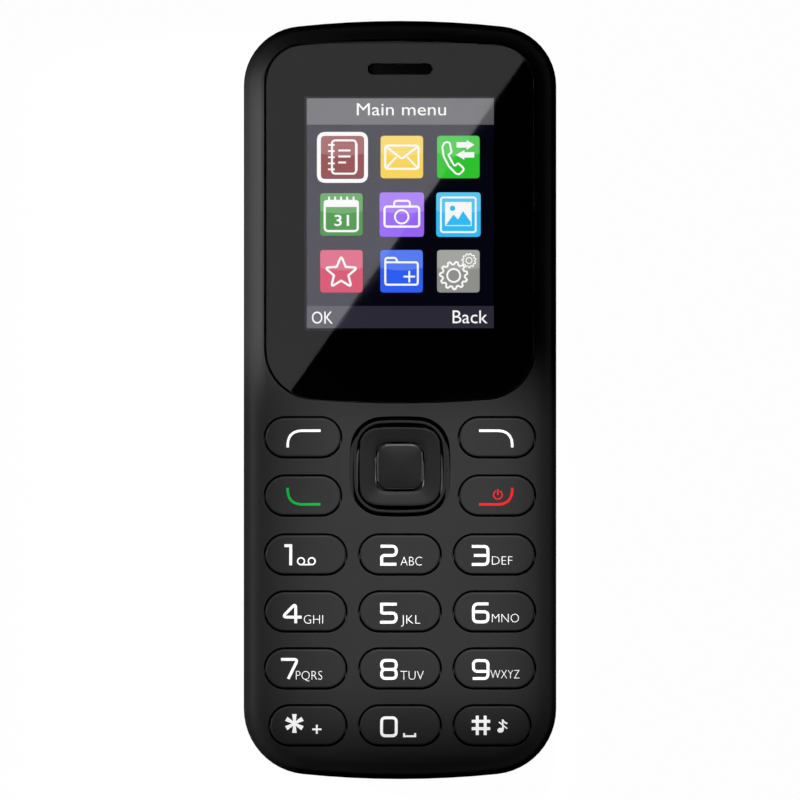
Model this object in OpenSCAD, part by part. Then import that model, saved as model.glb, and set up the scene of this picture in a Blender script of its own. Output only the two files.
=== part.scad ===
// Bar-shaped mobile phone, lying on its back with the screen up: +X right, +Y to the earpiece, +Z out of the screen.

/* [Body] */
// Width of the body
body_w = 47.4; // [40:0.2:60]
// Length of the body
body_l = 115; // [100:1:135]
// Thickness from the back cover to the front face
body_t = 14; // [13.5:0.5:18]
// Radius of the two corners beside the earpiece, seen from the front
top_corner_r = 9.1; // [6:0.1:12]
// Radius of the two corners below the keys, seen from the front
bottom_corner_r = 10; // [6:0.1:12]
// Radius of the gently curved ends
end_arc_r = 145; // [90:5:300]
// Rounding of the edge round the front face
front_edge_r = 3.4; // [2:0.1:3.6]
// Rounding of the edge round the back
back_edge_r = 4; // [3:0.1:4.4]
// Side wall of the housings
wall_t = 1.3; // [1:0.1:1.5]
// Thickness of the front face
face_t = 1.8; // [1.6:0.1:1.9]

/* [Window and screen] */
// Strip of housing on each side of the display window
window_side = 3.35; // [3:0.05:4]
// Strip of housing above the display window
window_top = 3.05; // [2.5:0.05:4]
// Radius of the window's upper corners
window_top_r = 5.8; // [4:0.1:8]
// Radius of the window's lower corners
window_bottom_r = 7.6; // [4:0.1:9]
// Radius of the window's curved ends
window_arc_r = 170; // [100:5:300]
// Thickness of the clear window
window_t = 1; // [0.8:0.1:1]
// Gap round the window
window_gap = 0.2; // [0.15:0.05:0.3]
// Depth of the window's face below the front face
window_drop = 0.05; // [0:0.01:0.1]
// Width of the ledge that the window is glued to
ledge_w = 1.6; // [1.2:0.1:1.8]
// Thickness of the printed mask and its tape
mask_t = 0.15; // [0.1:0.05:0.2]
// Metal frame's rim beside the lit picture
picture_side = 2.65; // [2:0.05:3]
// Metal frame's rim above the lit picture
picture_top = 1.05; // [0.9:0.05:1.5]
// Metal frame's rim below the lit picture, over the driver chip
picture_bottom = 6.25; // [5:0.05:7]
// Rim left clear round the picture in the mask
picture_rim = 0.35; // [0.2:0.05:0.5]
// Window left beside the screen's metal frame
frame_side = 3.55; // [3.3:0.05:4]
// Distance from the earpiece slot's middle down to the metal frame
frame_drop = 3.4; // [3:0.05:4]
// Window left below the screen's metal frame
frame_bottom = 4.95; // [4.5:0.05:6]
// Thickness of the screen glass
glass_t = 1.2; // [1:0.1:1.5]
// Height of the foam between screen and mask
foam_t = 0.8; // [0.6:0.1:0.9]
// Width of the earpiece slot
slot_w = 9.7; // [8:0.1:11]
// Height of the earpiece slot
slot_h = 1.5; // [1:0.1:2]
// Distance from the window's upper edge to the slot's middle
slot_drop = 4.3; // [3.8:0.05:4.8]

/* [Keys] */
// Height of a key, seen from the front
key_h = 5.9; // [5:0.1:6.4]
// Distance from the outer number keys to the body's side
key_side = 3.335; // [3.2:0.005:4]
// Gap between two number keys in a row
column_gap = 2.14; // [1.8:0.01:2.6]
// Shortening of the star and hash keys on their outer side
star_step = 0.7; // [0.4:0.05:1.2]
// Shortening of the screen, call and end keys on their inner side
screen_step = 0.8; // [0.6:0.05:1.2]
// Distance from the window's lower edge to the middle of the screen keys
screen_row_drop = 5.33; // [4.8:0.01:6]
// Distance from the screen keys' row to the call and end keys'
call_pitch = 8.83; // [8:0.01:9.4]
// Distance from the call and end keys' row to the first number row
first_pitch = 8.93; // [8.5:0.01:10]
// Distance between two rows of number keys
row_pitch = 8.63; // [7.6:0.01:9.4]
// Distance from the last row's middle to the body's lower end
keys_end = 8.17; // [7.8:0.01:10]
// Gap round each key
key_gap = 0.25; // [0.15:0.05:0.3]
// Stand of a key above the face
key_rise = 0.1; // [0:0.05:0.3]
// Chamfer round a key's top
key_edge = 0.2; // [0.1:0.05:0.3]
// Width of the flange that keeps a key in
key_flange_w = 0.45; // [0.3:0.05:0.5]
// Thickness of that flange
key_flange_t = 0.5; // [0.4:0.05:0.5]
// Free height above the flange
key_play = 0.1; // [0.05:0.05:0.1]
// Travel of a key
key_travel = 0.3; // [0.2:0.05:0.3]

/* [Navigation pad] */
// Distance from the pad's opening to the keys beside it
nav_side = 1.42; // [1.1:0.02:2]
// Least distance from the pad's opening to the window
nav_above = 2.15; // [1.8:0.05:3]
// Groove between the opening and the trim rim
nav_groove = 0.55; // [0.4:0.05:0.6]
// Width of the trim rim's wall
nav_rim_t = 0.45; // [0.35:0.05:0.5]
// Gap beside the ring key
nav_side_gap = 0.35; // [0.25:0.05:0.4]
// Gap above and below the ring key, seen from the front
nav_end_gap = 0.55; // [0.3:0.05:0.6]
// Width of the ring key's sloped band
nav_band = 2.75; // [2.6:0.05:3.2]
// Corner radius of the opening
nav_corner_r = 4.8; // [4:0.1:5.5]
// Corner radius of the centre key
centre_corner_r = 1.9; // [1.5:0.1:2.4]
// Radius of the pad's slightly bulged sides
nav_side_r = 45; // [30:5:120]
// Stand of the ring key's outer edge above the face
nav_ring_rise = 0.05; // [0:0.05:0.1]
// Stand of the centre key above the face
nav_centre_rise = 0.3; // [0.1:0.05:0.4]
// Depth of the ring key's slope towards the centre key
nav_dish = 0.35; // [0.1:0.05:0.5]
// Thickness of the trim rim's foot and of the ring key's foot
nav_foot_t = 0.2; // [0.15:0.01:0.2]
// Free height above the ring key's foot, for its tilt
nav_tilt_gap = 0.34; // [0.32:0.01:0.36]
// Reach of the ring key's foot under the rim's
nav_catch = 0.8; // [0.6:0.05:0.9]

/* [Inside] */
// Height of the board's underside above the back
board_z = 8; // [7.8:0.1:8]
// Thickness of the board
board_t = 1; // [0.8:0.1:1]
// Gap between the board's rim and the housing
board_gap = 0.5; // [0.3:0.1:0.8]
// Thickness of the dome sheet
dome_sheet_t = 0.1; // [0.05:0.05:0.15]
// Height of a metal dome
dome_h = 0.35; // [0.25:0.05:0.4]
// Radius of a metal dome
dome_r = 2.2; // [1.8:0.1:2.4]
// Thickness of the silicone mat
mat_t = 1; // [0.8:0.1:1]
// Gap between the mat and the keys at rest, for the mat's give
mat_gap = 0.5; // [0.48:0.01:0.52]
// Radius of a plunger under the mat
plunger_r = 1.1; // [0.8:0.1:1.4]
// Height of the shield cans
can_h = 1.4; // [1.2:0.1:1.5]
// Sheet thickness of the shield cans
can_t = 0.2; // [0.15:0.05:0.3]
// Distance from the shield cans to the body's side
can_side = 3.4; // [3:0.1:5]
// Gap between the two shield cans
can_gap = 2.4; // [1:0.1:4]
// Length of the radio's shield can
radio_can_l = 22; // [16:0.5:24]
// Length of the processor's shield can
processor_can_l = 20; // [14:0.5:22]
// Width of the earpiece speaker
earpiece_w = 12; // [10.5:0.5:13]
// Height of the earpiece speaker, seen from the front
earpiece_h = 5; // [4:0.1:5]
// Thickness of the earpiece speaker's case
earpiece_t = 2.6; // [2:0.1:3]
// Length of the screws' bosses' pilot holes
pilot_l = 2.2; // [1.5:0.1:2.4]
// Radius of a screw boss
boss_r = 1.25; // [1.1:0.05:1.3]
// Radius of a screw's shank
screw_r = 0.6; // [0.4:0.05:0.7]
// Radius of a screw's head
screw_head_r = 1.1; // [1:0.05:1.2]
// Thickness of a screw's head
screw_head_t = 0.6; // [0.4:0.1:0.8]
// Distance from the side screws to the body's side
screw_side = 3.5; // [3:0.05:3.6]
// Distance from the cover's upper edge to the upper side screws
upper_screw_drop = 3.45; // [3:0.05:5]
// Gap between the mat and the bosses of the screws beside it
boss_gap = 0.12; // [0.1:0.02:0.2]
// Distance between the two end screws
end_screws_apart = 18; // [14:0.5:19]

/* [Back and battery] */
// Height of the seam between the housings above the back
seam_z = 7.6; // [7.5:0.1:7.6]
// Height of the battery cover's side
cover_h = 5; // [4.8:0.1:5]
// Thickness of the battery cover
cover_t = 1; // [0.8:0.1:1]
// Gap at the seams
seam_gap = 0.1; // [0.05:0.05:0.15]
// Gap between the battery cover and what it hides
hidden_gap = 0.2; // [0.1:0.05:0.3]
// Distance from the battery to the body's side
battery_side = 6.6; // [6.5:0.1:8]
// Distance from the cover's upper edge to the battery
battery_drop = 11.34; // [10.5:0.01:13]
// Distance from the battery to the body's lower end
battery_foot = 20.3; // [16:0.1:24]
// Thickness of the battery
battery_t = 3.6; // [3:0.1:3.7]
// Gap round the battery
battery_gap = 0.3; // [0.2:0.05:0.4]
// Height of the battery bay's roof above the back
bay_z = 5.2; // [5.1:0.1:5.3]
// Thickness of the battery bay's roof
roof_t = 1.2; // [1.1:0.1:1.3]
// Width of the SIM card
sim_w = 25; // [20:0.5:26]
// Length of the SIM card
sim_l = 15; // [12:0.5:16]
// Thickness of the SIM card
sim_t = 0.76; // [0.6:0.02:0.76]
// Way the SIM card slides
sim_slide = 6; // [4:0.5:6]
// Width of the memory card
card_w = 11; // [9:0.5:12]
// Length of the memory card
card_l = 15; // [12:0.5:16]
// Thickness of the memory card
card_t = 1; // [0.7:0.05:1]
// Way the memory card slides
card_slide = 4; // [2:0.5:4]
// Gap round each card
card_gap = 0.12; // [0.05:0.01:0.15]

/* [Sound and camera] */
// Distance from the loudspeaker to the body's side
speaker_side = 3.8; // [3.4:0.1:5]
// Gap between the loudspeaker and the camera module
speaker_gap = 1.1; // [0.6:0.1:2]
// Length of the loudspeaker
speaker_l = 10.6; // [9:0.1:11]
// Gap between the loudspeaker and the wall below it
speaker_room = 0.45; // [0.3:0.05:1]
// Thickness of the loudspeaker
speaker_t = 3.2; // [2.5:0.1:3.5]
// Slots in the loudspeaker's grille
grille_slots = 5; // [3:1:6]
// Width of one grille slot
grille_slot_w = 0.8; // [0.6:0.1:1]
// Length of one grille slot
grille_slot_l = 7; // [5:0.5:8]
// Distance between grille slots
grille_pitch = 2; // [1.6:0.1:2.2]
// Radius of the camera window
camera_r = 4; // [3.5:0.1:4.2]
// Thickness of the camera window
camera_glass_t = 0.7; // [0.5:0.1:0.8]
// Width of the camera module
camera_w = 8.4; // [7.5:0.1:8.8]
// Radius of the lens barrel
lens_r = 3; // [2.5:0.1:3.3]
// Radius of the vibration motor
motor_r = 2; // [1.6:0.1:2.1]
// Length of the vibration motor's case
motor_l = 8.6; // [7:0.1:9]
// Radius of the motor's shaft
shaft_r = 0.4; // [0.3:0.05:0.5]
// Length of the eccentric weight
weight_l = 2.4; // [1.8:0.1:2.6]
// Distance from the motor's axis to the body's upper end
motor_end = 7.5; // [7:0.1:8]
// Gap between the motor and the loudspeaker
motor_gap = 2.1; // [1:0.1:3]
// Distance from the motor's case to the body's side
motor_side = 5.9; // [5.5:0.1:7]
// Width of the microphone
mic_w = 4; // [3:0.1:4.4]
// Length of the microphone
mic_l = 3; // [2:0.1:3.2]

/* [Sockets] */
// Radius of the headset socket's bore
jack_r = 1.8; // [1.7:0.05:1.9]
// Depth of that bore
jack_depth = 12.5; // [11:0.1:13]
// Radius of the socket's nose
jack_nose_r = 2.25; // [2.2:0.05:2.3]
// Width of the socket's case
jack_case_w = 6.4; // [5.6:0.1:6.8]
// Length of the socket's case
jack_case_l = 12.6; // [12:0.1:13.2]
// Height of the socket's axis above the back
jack_z = 4.9; // [4.85:0.05:5]
// Distance from the headset socket's axis to the body's side
jack_side = 11.8; // [11:0.1:12.4]
// Gap round the socket's nose
jack_gap = 0.1; // [0.05:0.05:0.15]
// Width of the data port
port_w = 7.6; // [7:0.1:8]
// Height of the data port
port_h = 2.4; // [2.2:0.1:2.6]
// Length of the data port
port_l = 5.4; // [5:0.1:6]
// Wall of the data port's shell
port_wall = 0.3; // [0.2:0.05:0.4]
// Height of the data port's middle above the back
port_z = 5.2; // [5:0.1:5.4]
// Gap round the data port's mouth
port_gap = 0.15; // [0.1:0.05:0.2]

/* [Hidden] */

// Overshoot of a cutting tool past the surface it opens
over = 1;
// Facets asked of round shapes
fine_fn = 64;
// Facets asked of small round shapes
small_fn = 32;
// Steps of the body's corners, of its ends and of its rounded edges
corner_steps = 12;
end_steps = 8;
edge_steps = 7;

// Steps to a millimetre that a key's straight part is rounded to, so that its ends meet it
length_steps = 1000;

// Heights above the back, from the face down
face_in_z = body_t - face_t;
window_top_z = body_t - window_drop;
ledge_z = window_top_z - window_t - mask_t;
foam_z = ledge_z - foam_t;
board_top_z = board_z + board_t;
flange_top_z = face_in_z - key_play;
key_foot_z = flange_top_z - key_flange_t;
mat_top_z = key_foot_z - mat_gap;
mat_z = mat_top_z - mat_t;
dome_z = board_top_z + dome_sheet_t;
plunger_z = dome_z + dome_h;
roof_top_z = bay_z + roof_t;

// Rows of keys, from the window's lower edge down, and the window that is left above them
keys_l = screen_row_drop + call_pitch + first_pitch + 3 * row_pitch + keys_end;
window_bottom_y = keys_l - body_l / 2;
screen_row_y = window_bottom_y - screen_row_drop;
call_row_y = screen_row_y - call_pitch;
first_row_y = call_row_y - first_pitch;
last_row_y = first_row_y - 3 * row_pitch;
window_w = body_w - 2 * window_side;
window_l = body_l - window_top - keys_l;
window_y = window_bottom_y + window_l / 2;
slot_y = window_bottom_y + window_l - slot_drop;

// Screen under the window
frame_w = window_w - 2 * frame_side;
frame_top_y = slot_y - frame_drop;
frame_l = frame_top_y - window_bottom_y - frame_bottom;
frame_y = frame_top_y - frame_l / 2;
picture_w = frame_w - 2 * picture_side;
picture_l = frame_l - picture_top - picture_bottom;
picture_y = frame_top_y - picture_top - picture_l / 2;

// Columns of keys
number_key_w = (body_w - 2 * key_side - 2 * column_gap) / 3;
number_x = number_key_w + column_gap;
star_key_w = number_key_w - star_step;
star_x = number_x - star_step / 2;
screen_key_w = number_key_w - screen_step;
screen_x = number_x + screen_step / 2;

// Navigation pad between the keys, from its opening in
nav_y = (screen_row_y + call_row_y) / 2;
nav_opening = 2 * min(screen_x - screen_key_w / 2 - nav_side, window_bottom_y - nav_above - nav_y);
nav_rim_w = nav_opening - 2 * nav_groove;
nav_room_w = nav_rim_w - 2 * nav_rim_t;
nav_ring_w = nav_room_w - 2 * nav_side_gap;
nav_ring_h = nav_room_w - 2 * nav_end_gap;
nav_centre_w = nav_ring_w - 2 * nav_band;

// Top compartment, from the body's upper end down to the cover's upper edge
top_wall = wall_t + hidden_gap;
motor_x = motor_side - body_w / 2;
motor_y = body_l / 2 - motor_end;
speaker_w = body_w / 2 - speaker_side - camera_w / 2 - speaker_gap;
speaker_x = speaker_side - body_w / 2 + speaker_w / 2;
speaker_y = motor_y - motor_r - motor_gap - speaker_l / 2;
cover_y = speaker_y - speaker_l / 2 - speaker_room - top_wall;

// Each pill-shaped key: across, along, width
number_places = [for (row = [0:2]) for (column = [-1:1])
    [column * number_x, first_row_y - row * row_pitch, number_key_w]];
star_place = [-star_x, last_row_y, star_key_w];
zero_place = [0, last_row_y, number_key_w];
hash_place = [star_x, last_row_y, star_key_w];
left_place = [-screen_x, screen_row_y, screen_key_w];
right_place = [screen_x, screen_row_y, screen_key_w];
call_place = [-screen_x, call_row_y, screen_key_w];
end_place = [screen_x, call_row_y, screen_key_w];
key_places = concat(number_places,
    [star_place, zero_place, hash_place, left_place, right_place, call_place, end_place]);

// Domes of the navigation pad lie on a cross round its centre
nav_dome_reach = (nav_ring_w + nav_centre_w) / 4;
nav_dome_places = [[0, 0], [nav_dome_reach, 0], [-nav_dome_reach, 0], [0, nav_dome_reach], [0, -nav_dome_reach]];
nav_dome_r = dome_r * 0.62;

// Mat under the keys
mat_rim = 0.8;
mat_side_gap = 0.5;
mat_top_y = screen_row_y + key_h / 2 + key_flange_w + mat_rim;
mat_bottom_y = last_row_y - key_h / 2 - key_flange_w;

// Screws: across, along
side_screw_x = body_w / 2 - screw_side;
end_screw_x = end_screws_apart / 2;
upper_screw_y = cover_y - upper_screw_drop;
lower_screw_y = mat_top_y + boss_r + mat_rim;
end_screw_y = mat_bottom_y - boss_r - boss_gap;
screw_places = [[-side_screw_x, upper_screw_y], [side_screw_x, upper_screw_y],
    [-side_screw_x, lower_screw_y], [side_screw_x, lower_screw_y],
    [-end_screw_x, end_screw_y], [end_screw_x, end_screw_y]];

// Steps that follow the rounded back edge from inside
step_inset = back_edge_r * 0.65;
step_z = cover_t + back_edge_r * 0.4;

// Battery bay with its contacts
battery_w = body_w - 2 * battery_side;
battery_top_y = cover_y - battery_drop;
battery_l = battery_top_y + body_l / 2 - battery_foot;
battery_y = battery_top_y - battery_l / 2;
bay_w = battery_w + 2 * battery_gap;
bay_l = battery_l + 2 * battery_gap;
battery_z = cover_t + hidden_gap / 2;
battery_corner_r = battery_w * 0.05;
contact_w = battery_w * 0.26;
contact_l = battery_l * 0.05;
contact_y = battery_y + bay_l / 2 + contact_l / 2 + hidden_gap;
contact_z = battery_z + battery_t * 0.5;

// Two cards in the bay's roof, with a third of the free length above, between and below them
card_shell = 0.6;
card_shell_t = 0.2;
card_room_l = card_l + card_slide + 2 * card_shell;
sim_room_l = sim_l + sim_slide + 2 * card_gap;
free_l = battery_l - card_room_l - sim_room_l;
card_y = battery_top_y - free_l / 3 - card_shell - card_l / 2;
card_z = bay_z + card_shell_t;
sim_y = battery_top_y - battery_l + free_l / 3 + card_gap + sim_slide + sim_l / 2;
sim_bridge_l = sim_l * 0.4;
bridge_t = 0.3;

// Antenna below the battery bay
antenna_gap = 2;
antenna_foot = 5.4;
antenna_side = 9.5;
antenna_w = body_w - 2 * antenna_side;
antenna_l = battery_foot - battery_gap - antenna_gap - antenna_foot;
antenna_y = antenna_foot + antenna_l / 2 - body_l / 2;
antenna_z = cover_t + 2 * hidden_gap;
pattern_t = 0.15;

// Parts that stand on the board
tray_t = 0.5;
foam_w = 1.6;
flex_w = 12;
flex_t = 0.15;
flex_l = 3;
spring_w = 0.8;
spring_l = 2.4;
earpiece_top_z = ledge_z - mask_t;
earpiece_y = slot_y - slot_h * 0.1;
cans_w = body_w - 2 * can_side - can_gap;
processor_can_w = cans_w * 0.55;
radio_can_w = cans_w - processor_can_w;
processor_x = body_w / 2 - can_side - processor_can_w / 2;
radio_x = can_side + radio_can_w / 2 - body_w / 2;
can_y = (keys_l - body_l) / 2;

// Navigation pad below the face
nav_rim_corner_r = nav_corner_r - (nav_opening - nav_rim_w) / 2;
nav_foot_z = face_in_z - nav_foot_t - nav_tilt_gap - nav_foot_t;
nav_foot_w = nav_side - key_flange_w - seam_gap;
nav_ring_foot_w = nav_ring_w + 2 * nav_catch;
nav_hole_w = nav_centre_w + 2 * key_gap;
pivot_rim = 0.7;
pivot_gap = 0.3;
pivot_lug_w = 1.6;
pivot_t = 0.12;
pivot_drop = 0.04;
pivot_w = nav_hole_w + 2 * pivot_rim;
pivot_room_w = pivot_w + 2 * pivot_gap;
pivot_z = nav_foot_z - pivot_drop - pivot_t;

// Heights in the top compartment, and the two ends
speaker_z = cover_t + 2 * hidden_gap;
camera_seat_z = camera_glass_t + hidden_gap;
camera_body_z = camera_seat_z + camera_w * 0.25;
motor_z = cover_t + hidden_gap + motor_r + hidden_gap;
shaft_depth = 1.2;
jack_x = body_w / 2 - jack_side;
jack_face_y = end_inner_y(jack_x + jack_case_w / 2);
jack_nose_l = end_inner_y(jack_x) + wall_t - jack_face_y;
port_face_y = end_inner_y(port_w / 2) - seam_gap;
mic_face_y = hidden_gap - end_inner_y(mic_w / 2);
mic_z = bay_z + roof_t / 2 + hidden_gap / 2;
mic_hole_r = 0.5;
mic_hole_z = mic_z + 2 * mic_hole_r;
boot_l = 1.4;
mic_room_w = mic_w + 4 * hidden_gap;
mic_room_l = boot_l + mic_l + hidden_gap;
mic_y = mic_face_y + mic_room_l / 2 - hidden_gap;

// Centre of the corner arc that is tangent to a straight side and to a curved end
function corner_x(w, r) = w / 2 - r;
function corner_y(w, l, r, arc) = l / 2 - arc + sqrt(pow(arc - r, 2) - pow(corner_x(w, r), 2));
function end_angle(w, r, arc) = acos(corner_x(w, r) / (arc - r));

// Place of the upper end wall's inner face at a distance from the middle line
function end_inner_y(x) =
    let (inset = wall_t + hidden_gap,
        start_x = corner_x(body_w, top_corner_r))
    x > start_x
        ? corner_y(body_w, body_l, top_corner_r, end_arc_r) + sqrt(pow(top_corner_r - inset, 2) - pow(x - start_x, 2))
        : body_l / 2 - end_arc_r + sqrt(pow(end_arc_r - inset, 2) - x * x);

// Points on an arc, ends included
function arc_points(centre, r, from_a, to_a, steps) =
    [for (i = [0:steps]) let (a = from_a + (to_a - from_a) * i / steps) centre + r * [cos(a), sin(a)]];

// The same arc without its two ends, where corner arcs already lie
function inner_arc_points(centre, r, from_a, to_a, steps) =
    [for (i = [1:steps - 1]) let (a = from_a + (to_a - from_a) * i / steps) centre + r * [cos(a), sin(a)]];

// Outline with straight sides, curved ends and two corner radii, drawn inwards by the inset
function block_points(w, l, top_r, bottom_r, arc, inset) =
    let (top_x = corner_x(w, top_r),
        top_y = corner_y(w, l, top_r, arc),
        top_a = end_angle(w, top_r, arc),
        bottom_x = corner_x(w, bottom_r),
        bottom_y = corner_y(w, l, bottom_r, arc),
        bottom_a = end_angle(w, bottom_r, arc))
    concat(arc_points([top_x, top_y], top_r - inset, 0, top_a, corner_steps),
        inner_arc_points([0, l / 2 - arc], arc - inset, top_a, 180 - top_a, end_steps),
        arc_points([-top_x, top_y], top_r - inset, 180 - top_a, 180, corner_steps),
        arc_points([-bottom_x, -bottom_y], bottom_r - inset, 180, 180 + bottom_a, corner_steps),
        inner_arc_points([0, arc - l / 2], arc - inset, 180 + bottom_a, 360 - bottom_a, end_steps),
        arc_points([bottom_x, -bottom_y], bottom_r - inset, 360 - bottom_a, 360, corner_steps));

function body_points(inset) = block_points(body_w, body_l, top_corner_r, bottom_corner_r, end_arc_r, inset);

module body_outline(inset) {
    polygon(body_points(inset));
}

module window_outline(inset) {
    translate([0, window_y])
        polygon(block_points(window_w, window_l, window_top_r, window_bottom_r, window_arc_r, inset));
}

// Solid through the body's outline at several heights: each level is an inset and a height
module body_loft(levels) {
    rings = [for (level = levels) [for (point = body_points(level[0])) [point[0], point[1], level[1]]]];
    n = len(rings[0]);
    polyhedron([for (ring = rings) each ring],
        concat([[for (i = [0:n - 1]) i]],
            [for (k = [0:len(rings) - 2]) for (i = [0:n - 1])
                let (next = (i + 1) % n)
                [k * n + i, (k + 1) * n + i, (k + 1) * n + next, k * n + next]],
            [[for (i = [0:n - 1]) len(rings) * n - 1 - i]]));
}

// Levels of the rounded front edge, from the seam up
front_levels = concat([[0, seam_z]], [for (i = [0:edge_steps]) let (a = 90 * i / edge_steps)
    [front_edge_r * (1 - cos(a)), body_t - front_edge_r * (1 - sin(a))]]);

// Levels of the rounded back edge, from the back up to a height
function back_levels(top_z) = concat([for (i = [0:edge_steps]) let (a = 90 - 90 * i / edge_steps)
    [back_edge_r * (1 - cos(a)), back_edge_r * (1 - sin(a))]], [[0, top_z]]);

// Keeps the part of the plane between two places along the body
module between_y(low, high) {
    translate([-body_w, low]) square([2 * body_w, high - low]);
}

// A slab between two heights
module slab(low, high) {
    translate([0, 0, low]) linear_extrude(high - low) children();
}

module block(w, l, low, high) {
    slab(low, high) square([w, l], center = true);
}

// Flat shape with fully round ends
module pill(w, h) {
    square([w - h, h], center = true);
    for (side = [-1, 1]) translate([side * (w - h) / 2, 0]) circle(h / 2, $fn = fine_fn);
}

module rounded(w, l, r) {
    square([w - 2 * r, l], center = true);
    square([w, l - 2 * r], center = true);
    for (x = [-1, 1]) for (y = [-1, 1])
        translate([x * (w / 2 - r), y * (l / 2 - r)]) circle(r, $fn = small_fn);
}

// Rounded square whose four sides bulge as wide arcs, tangent to the corner arcs
function bulged_points(w, h, r, arc) =
    let (apart = norm([w / 2 - arc, arc - h / 2]),
        reach = sqrt(pow(arc - r, 2) - pow(apart / 2, 2)),
        x = (w / 2 - arc) / 2 + reach * (arc - h / 2) / apart,
        y = (h / 2 - arc) / 2 + reach * (arc - w / 2) / apart,
        side_a = atan2(y, x + arc - w / 2),
        top_a = atan2(y + arc - h / 2, x))
    concat(arc_points([x, y], r, side_a, top_a, corner_steps),
        inner_arc_points([0, h / 2 - arc], arc, top_a, 180 - top_a, end_steps),
        arc_points([-x, y], r, 180 - top_a, 180 - side_a, corner_steps),
        inner_arc_points([arc - w / 2, 0], arc, 180 - side_a, 180 + side_a, end_steps),
        arc_points([-x, -y], r, 180 + side_a, 180 + top_a, corner_steps),
        inner_arc_points([0, arc - h / 2], arc, 180 + top_a, 360 - top_a, end_steps),
        arc_points([x, -y], r, 360 - top_a, 360 - side_a, corner_steps),
        inner_arc_points([w / 2 - arc, 0], arc, -side_a, side_a, end_steps));

module bulged(w, h, r, arc) {
    polygon(bulged_points(w, h, r, arc));
}

// A key with a foot flange and a chamfered top, round at both ends
module pill_key(place) {
    straight_l = round((place[2] - key_h) * length_steps / 2) * 2 / length_steps;
    r = key_h / 2;
    top_z = body_t + key_rise;
    foot_r = r + key_flange_w;
    half = [[0, key_foot_z], [foot_r, key_foot_z], [foot_r, flange_top_z], [r, flange_top_z],
        [r, top_z - key_edge], [r - key_edge, top_z], [0, top_z]];
    mirrored = [for (i = [1:len(half) - 2]) [-half[len(half) - 1 - i][0], half[len(half) - 1 - i][1]]];
    translate([place[0], place[1], 0]) {
        for (side = [-1, 1])
            translate([side * straight_l / 2, 0, 0]) rotate([0, 0, -side * 90])
                rotate_extrude(angle = 180, $fn = fine_fn) polygon(half);
        rotate([90, 0, 90]) linear_extrude(straight_l, center = true) polygon(concat(half, mirrored));
    }
}

module at_screws() {
    for (place = screw_places) translate(place) children();
}

module front_housing() {
    difference() {
        body_loft(front_levels);
        slab(seam_z - over, face_in_z) body_outline(wall_t);
        slab(ledge_z, body_t + over) window_outline(-window_gap);
        slab(face_in_z - over, body_t + over) window_outline(ledge_w);
        slab(face_in_z - over, body_t + over) {
            for (place = key_places)
                translate([place[0], place[1]]) pill(place[2] + 2 * key_gap, key_h + 2 * key_gap);
            translate([0, nav_y]) bulged(nav_opening, nav_opening, nav_corner_r, nav_side_r);
        }
    }
    // Bosses that the screws bite into
    difference() {
        slab(board_top_z, face_in_z) at_screws() circle(boss_r, $fn = small_fn);
        slab(board_top_z - over, board_top_z + pilot_l) at_screws() circle(screw_r, $fn = small_fn);
    }
}

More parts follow.
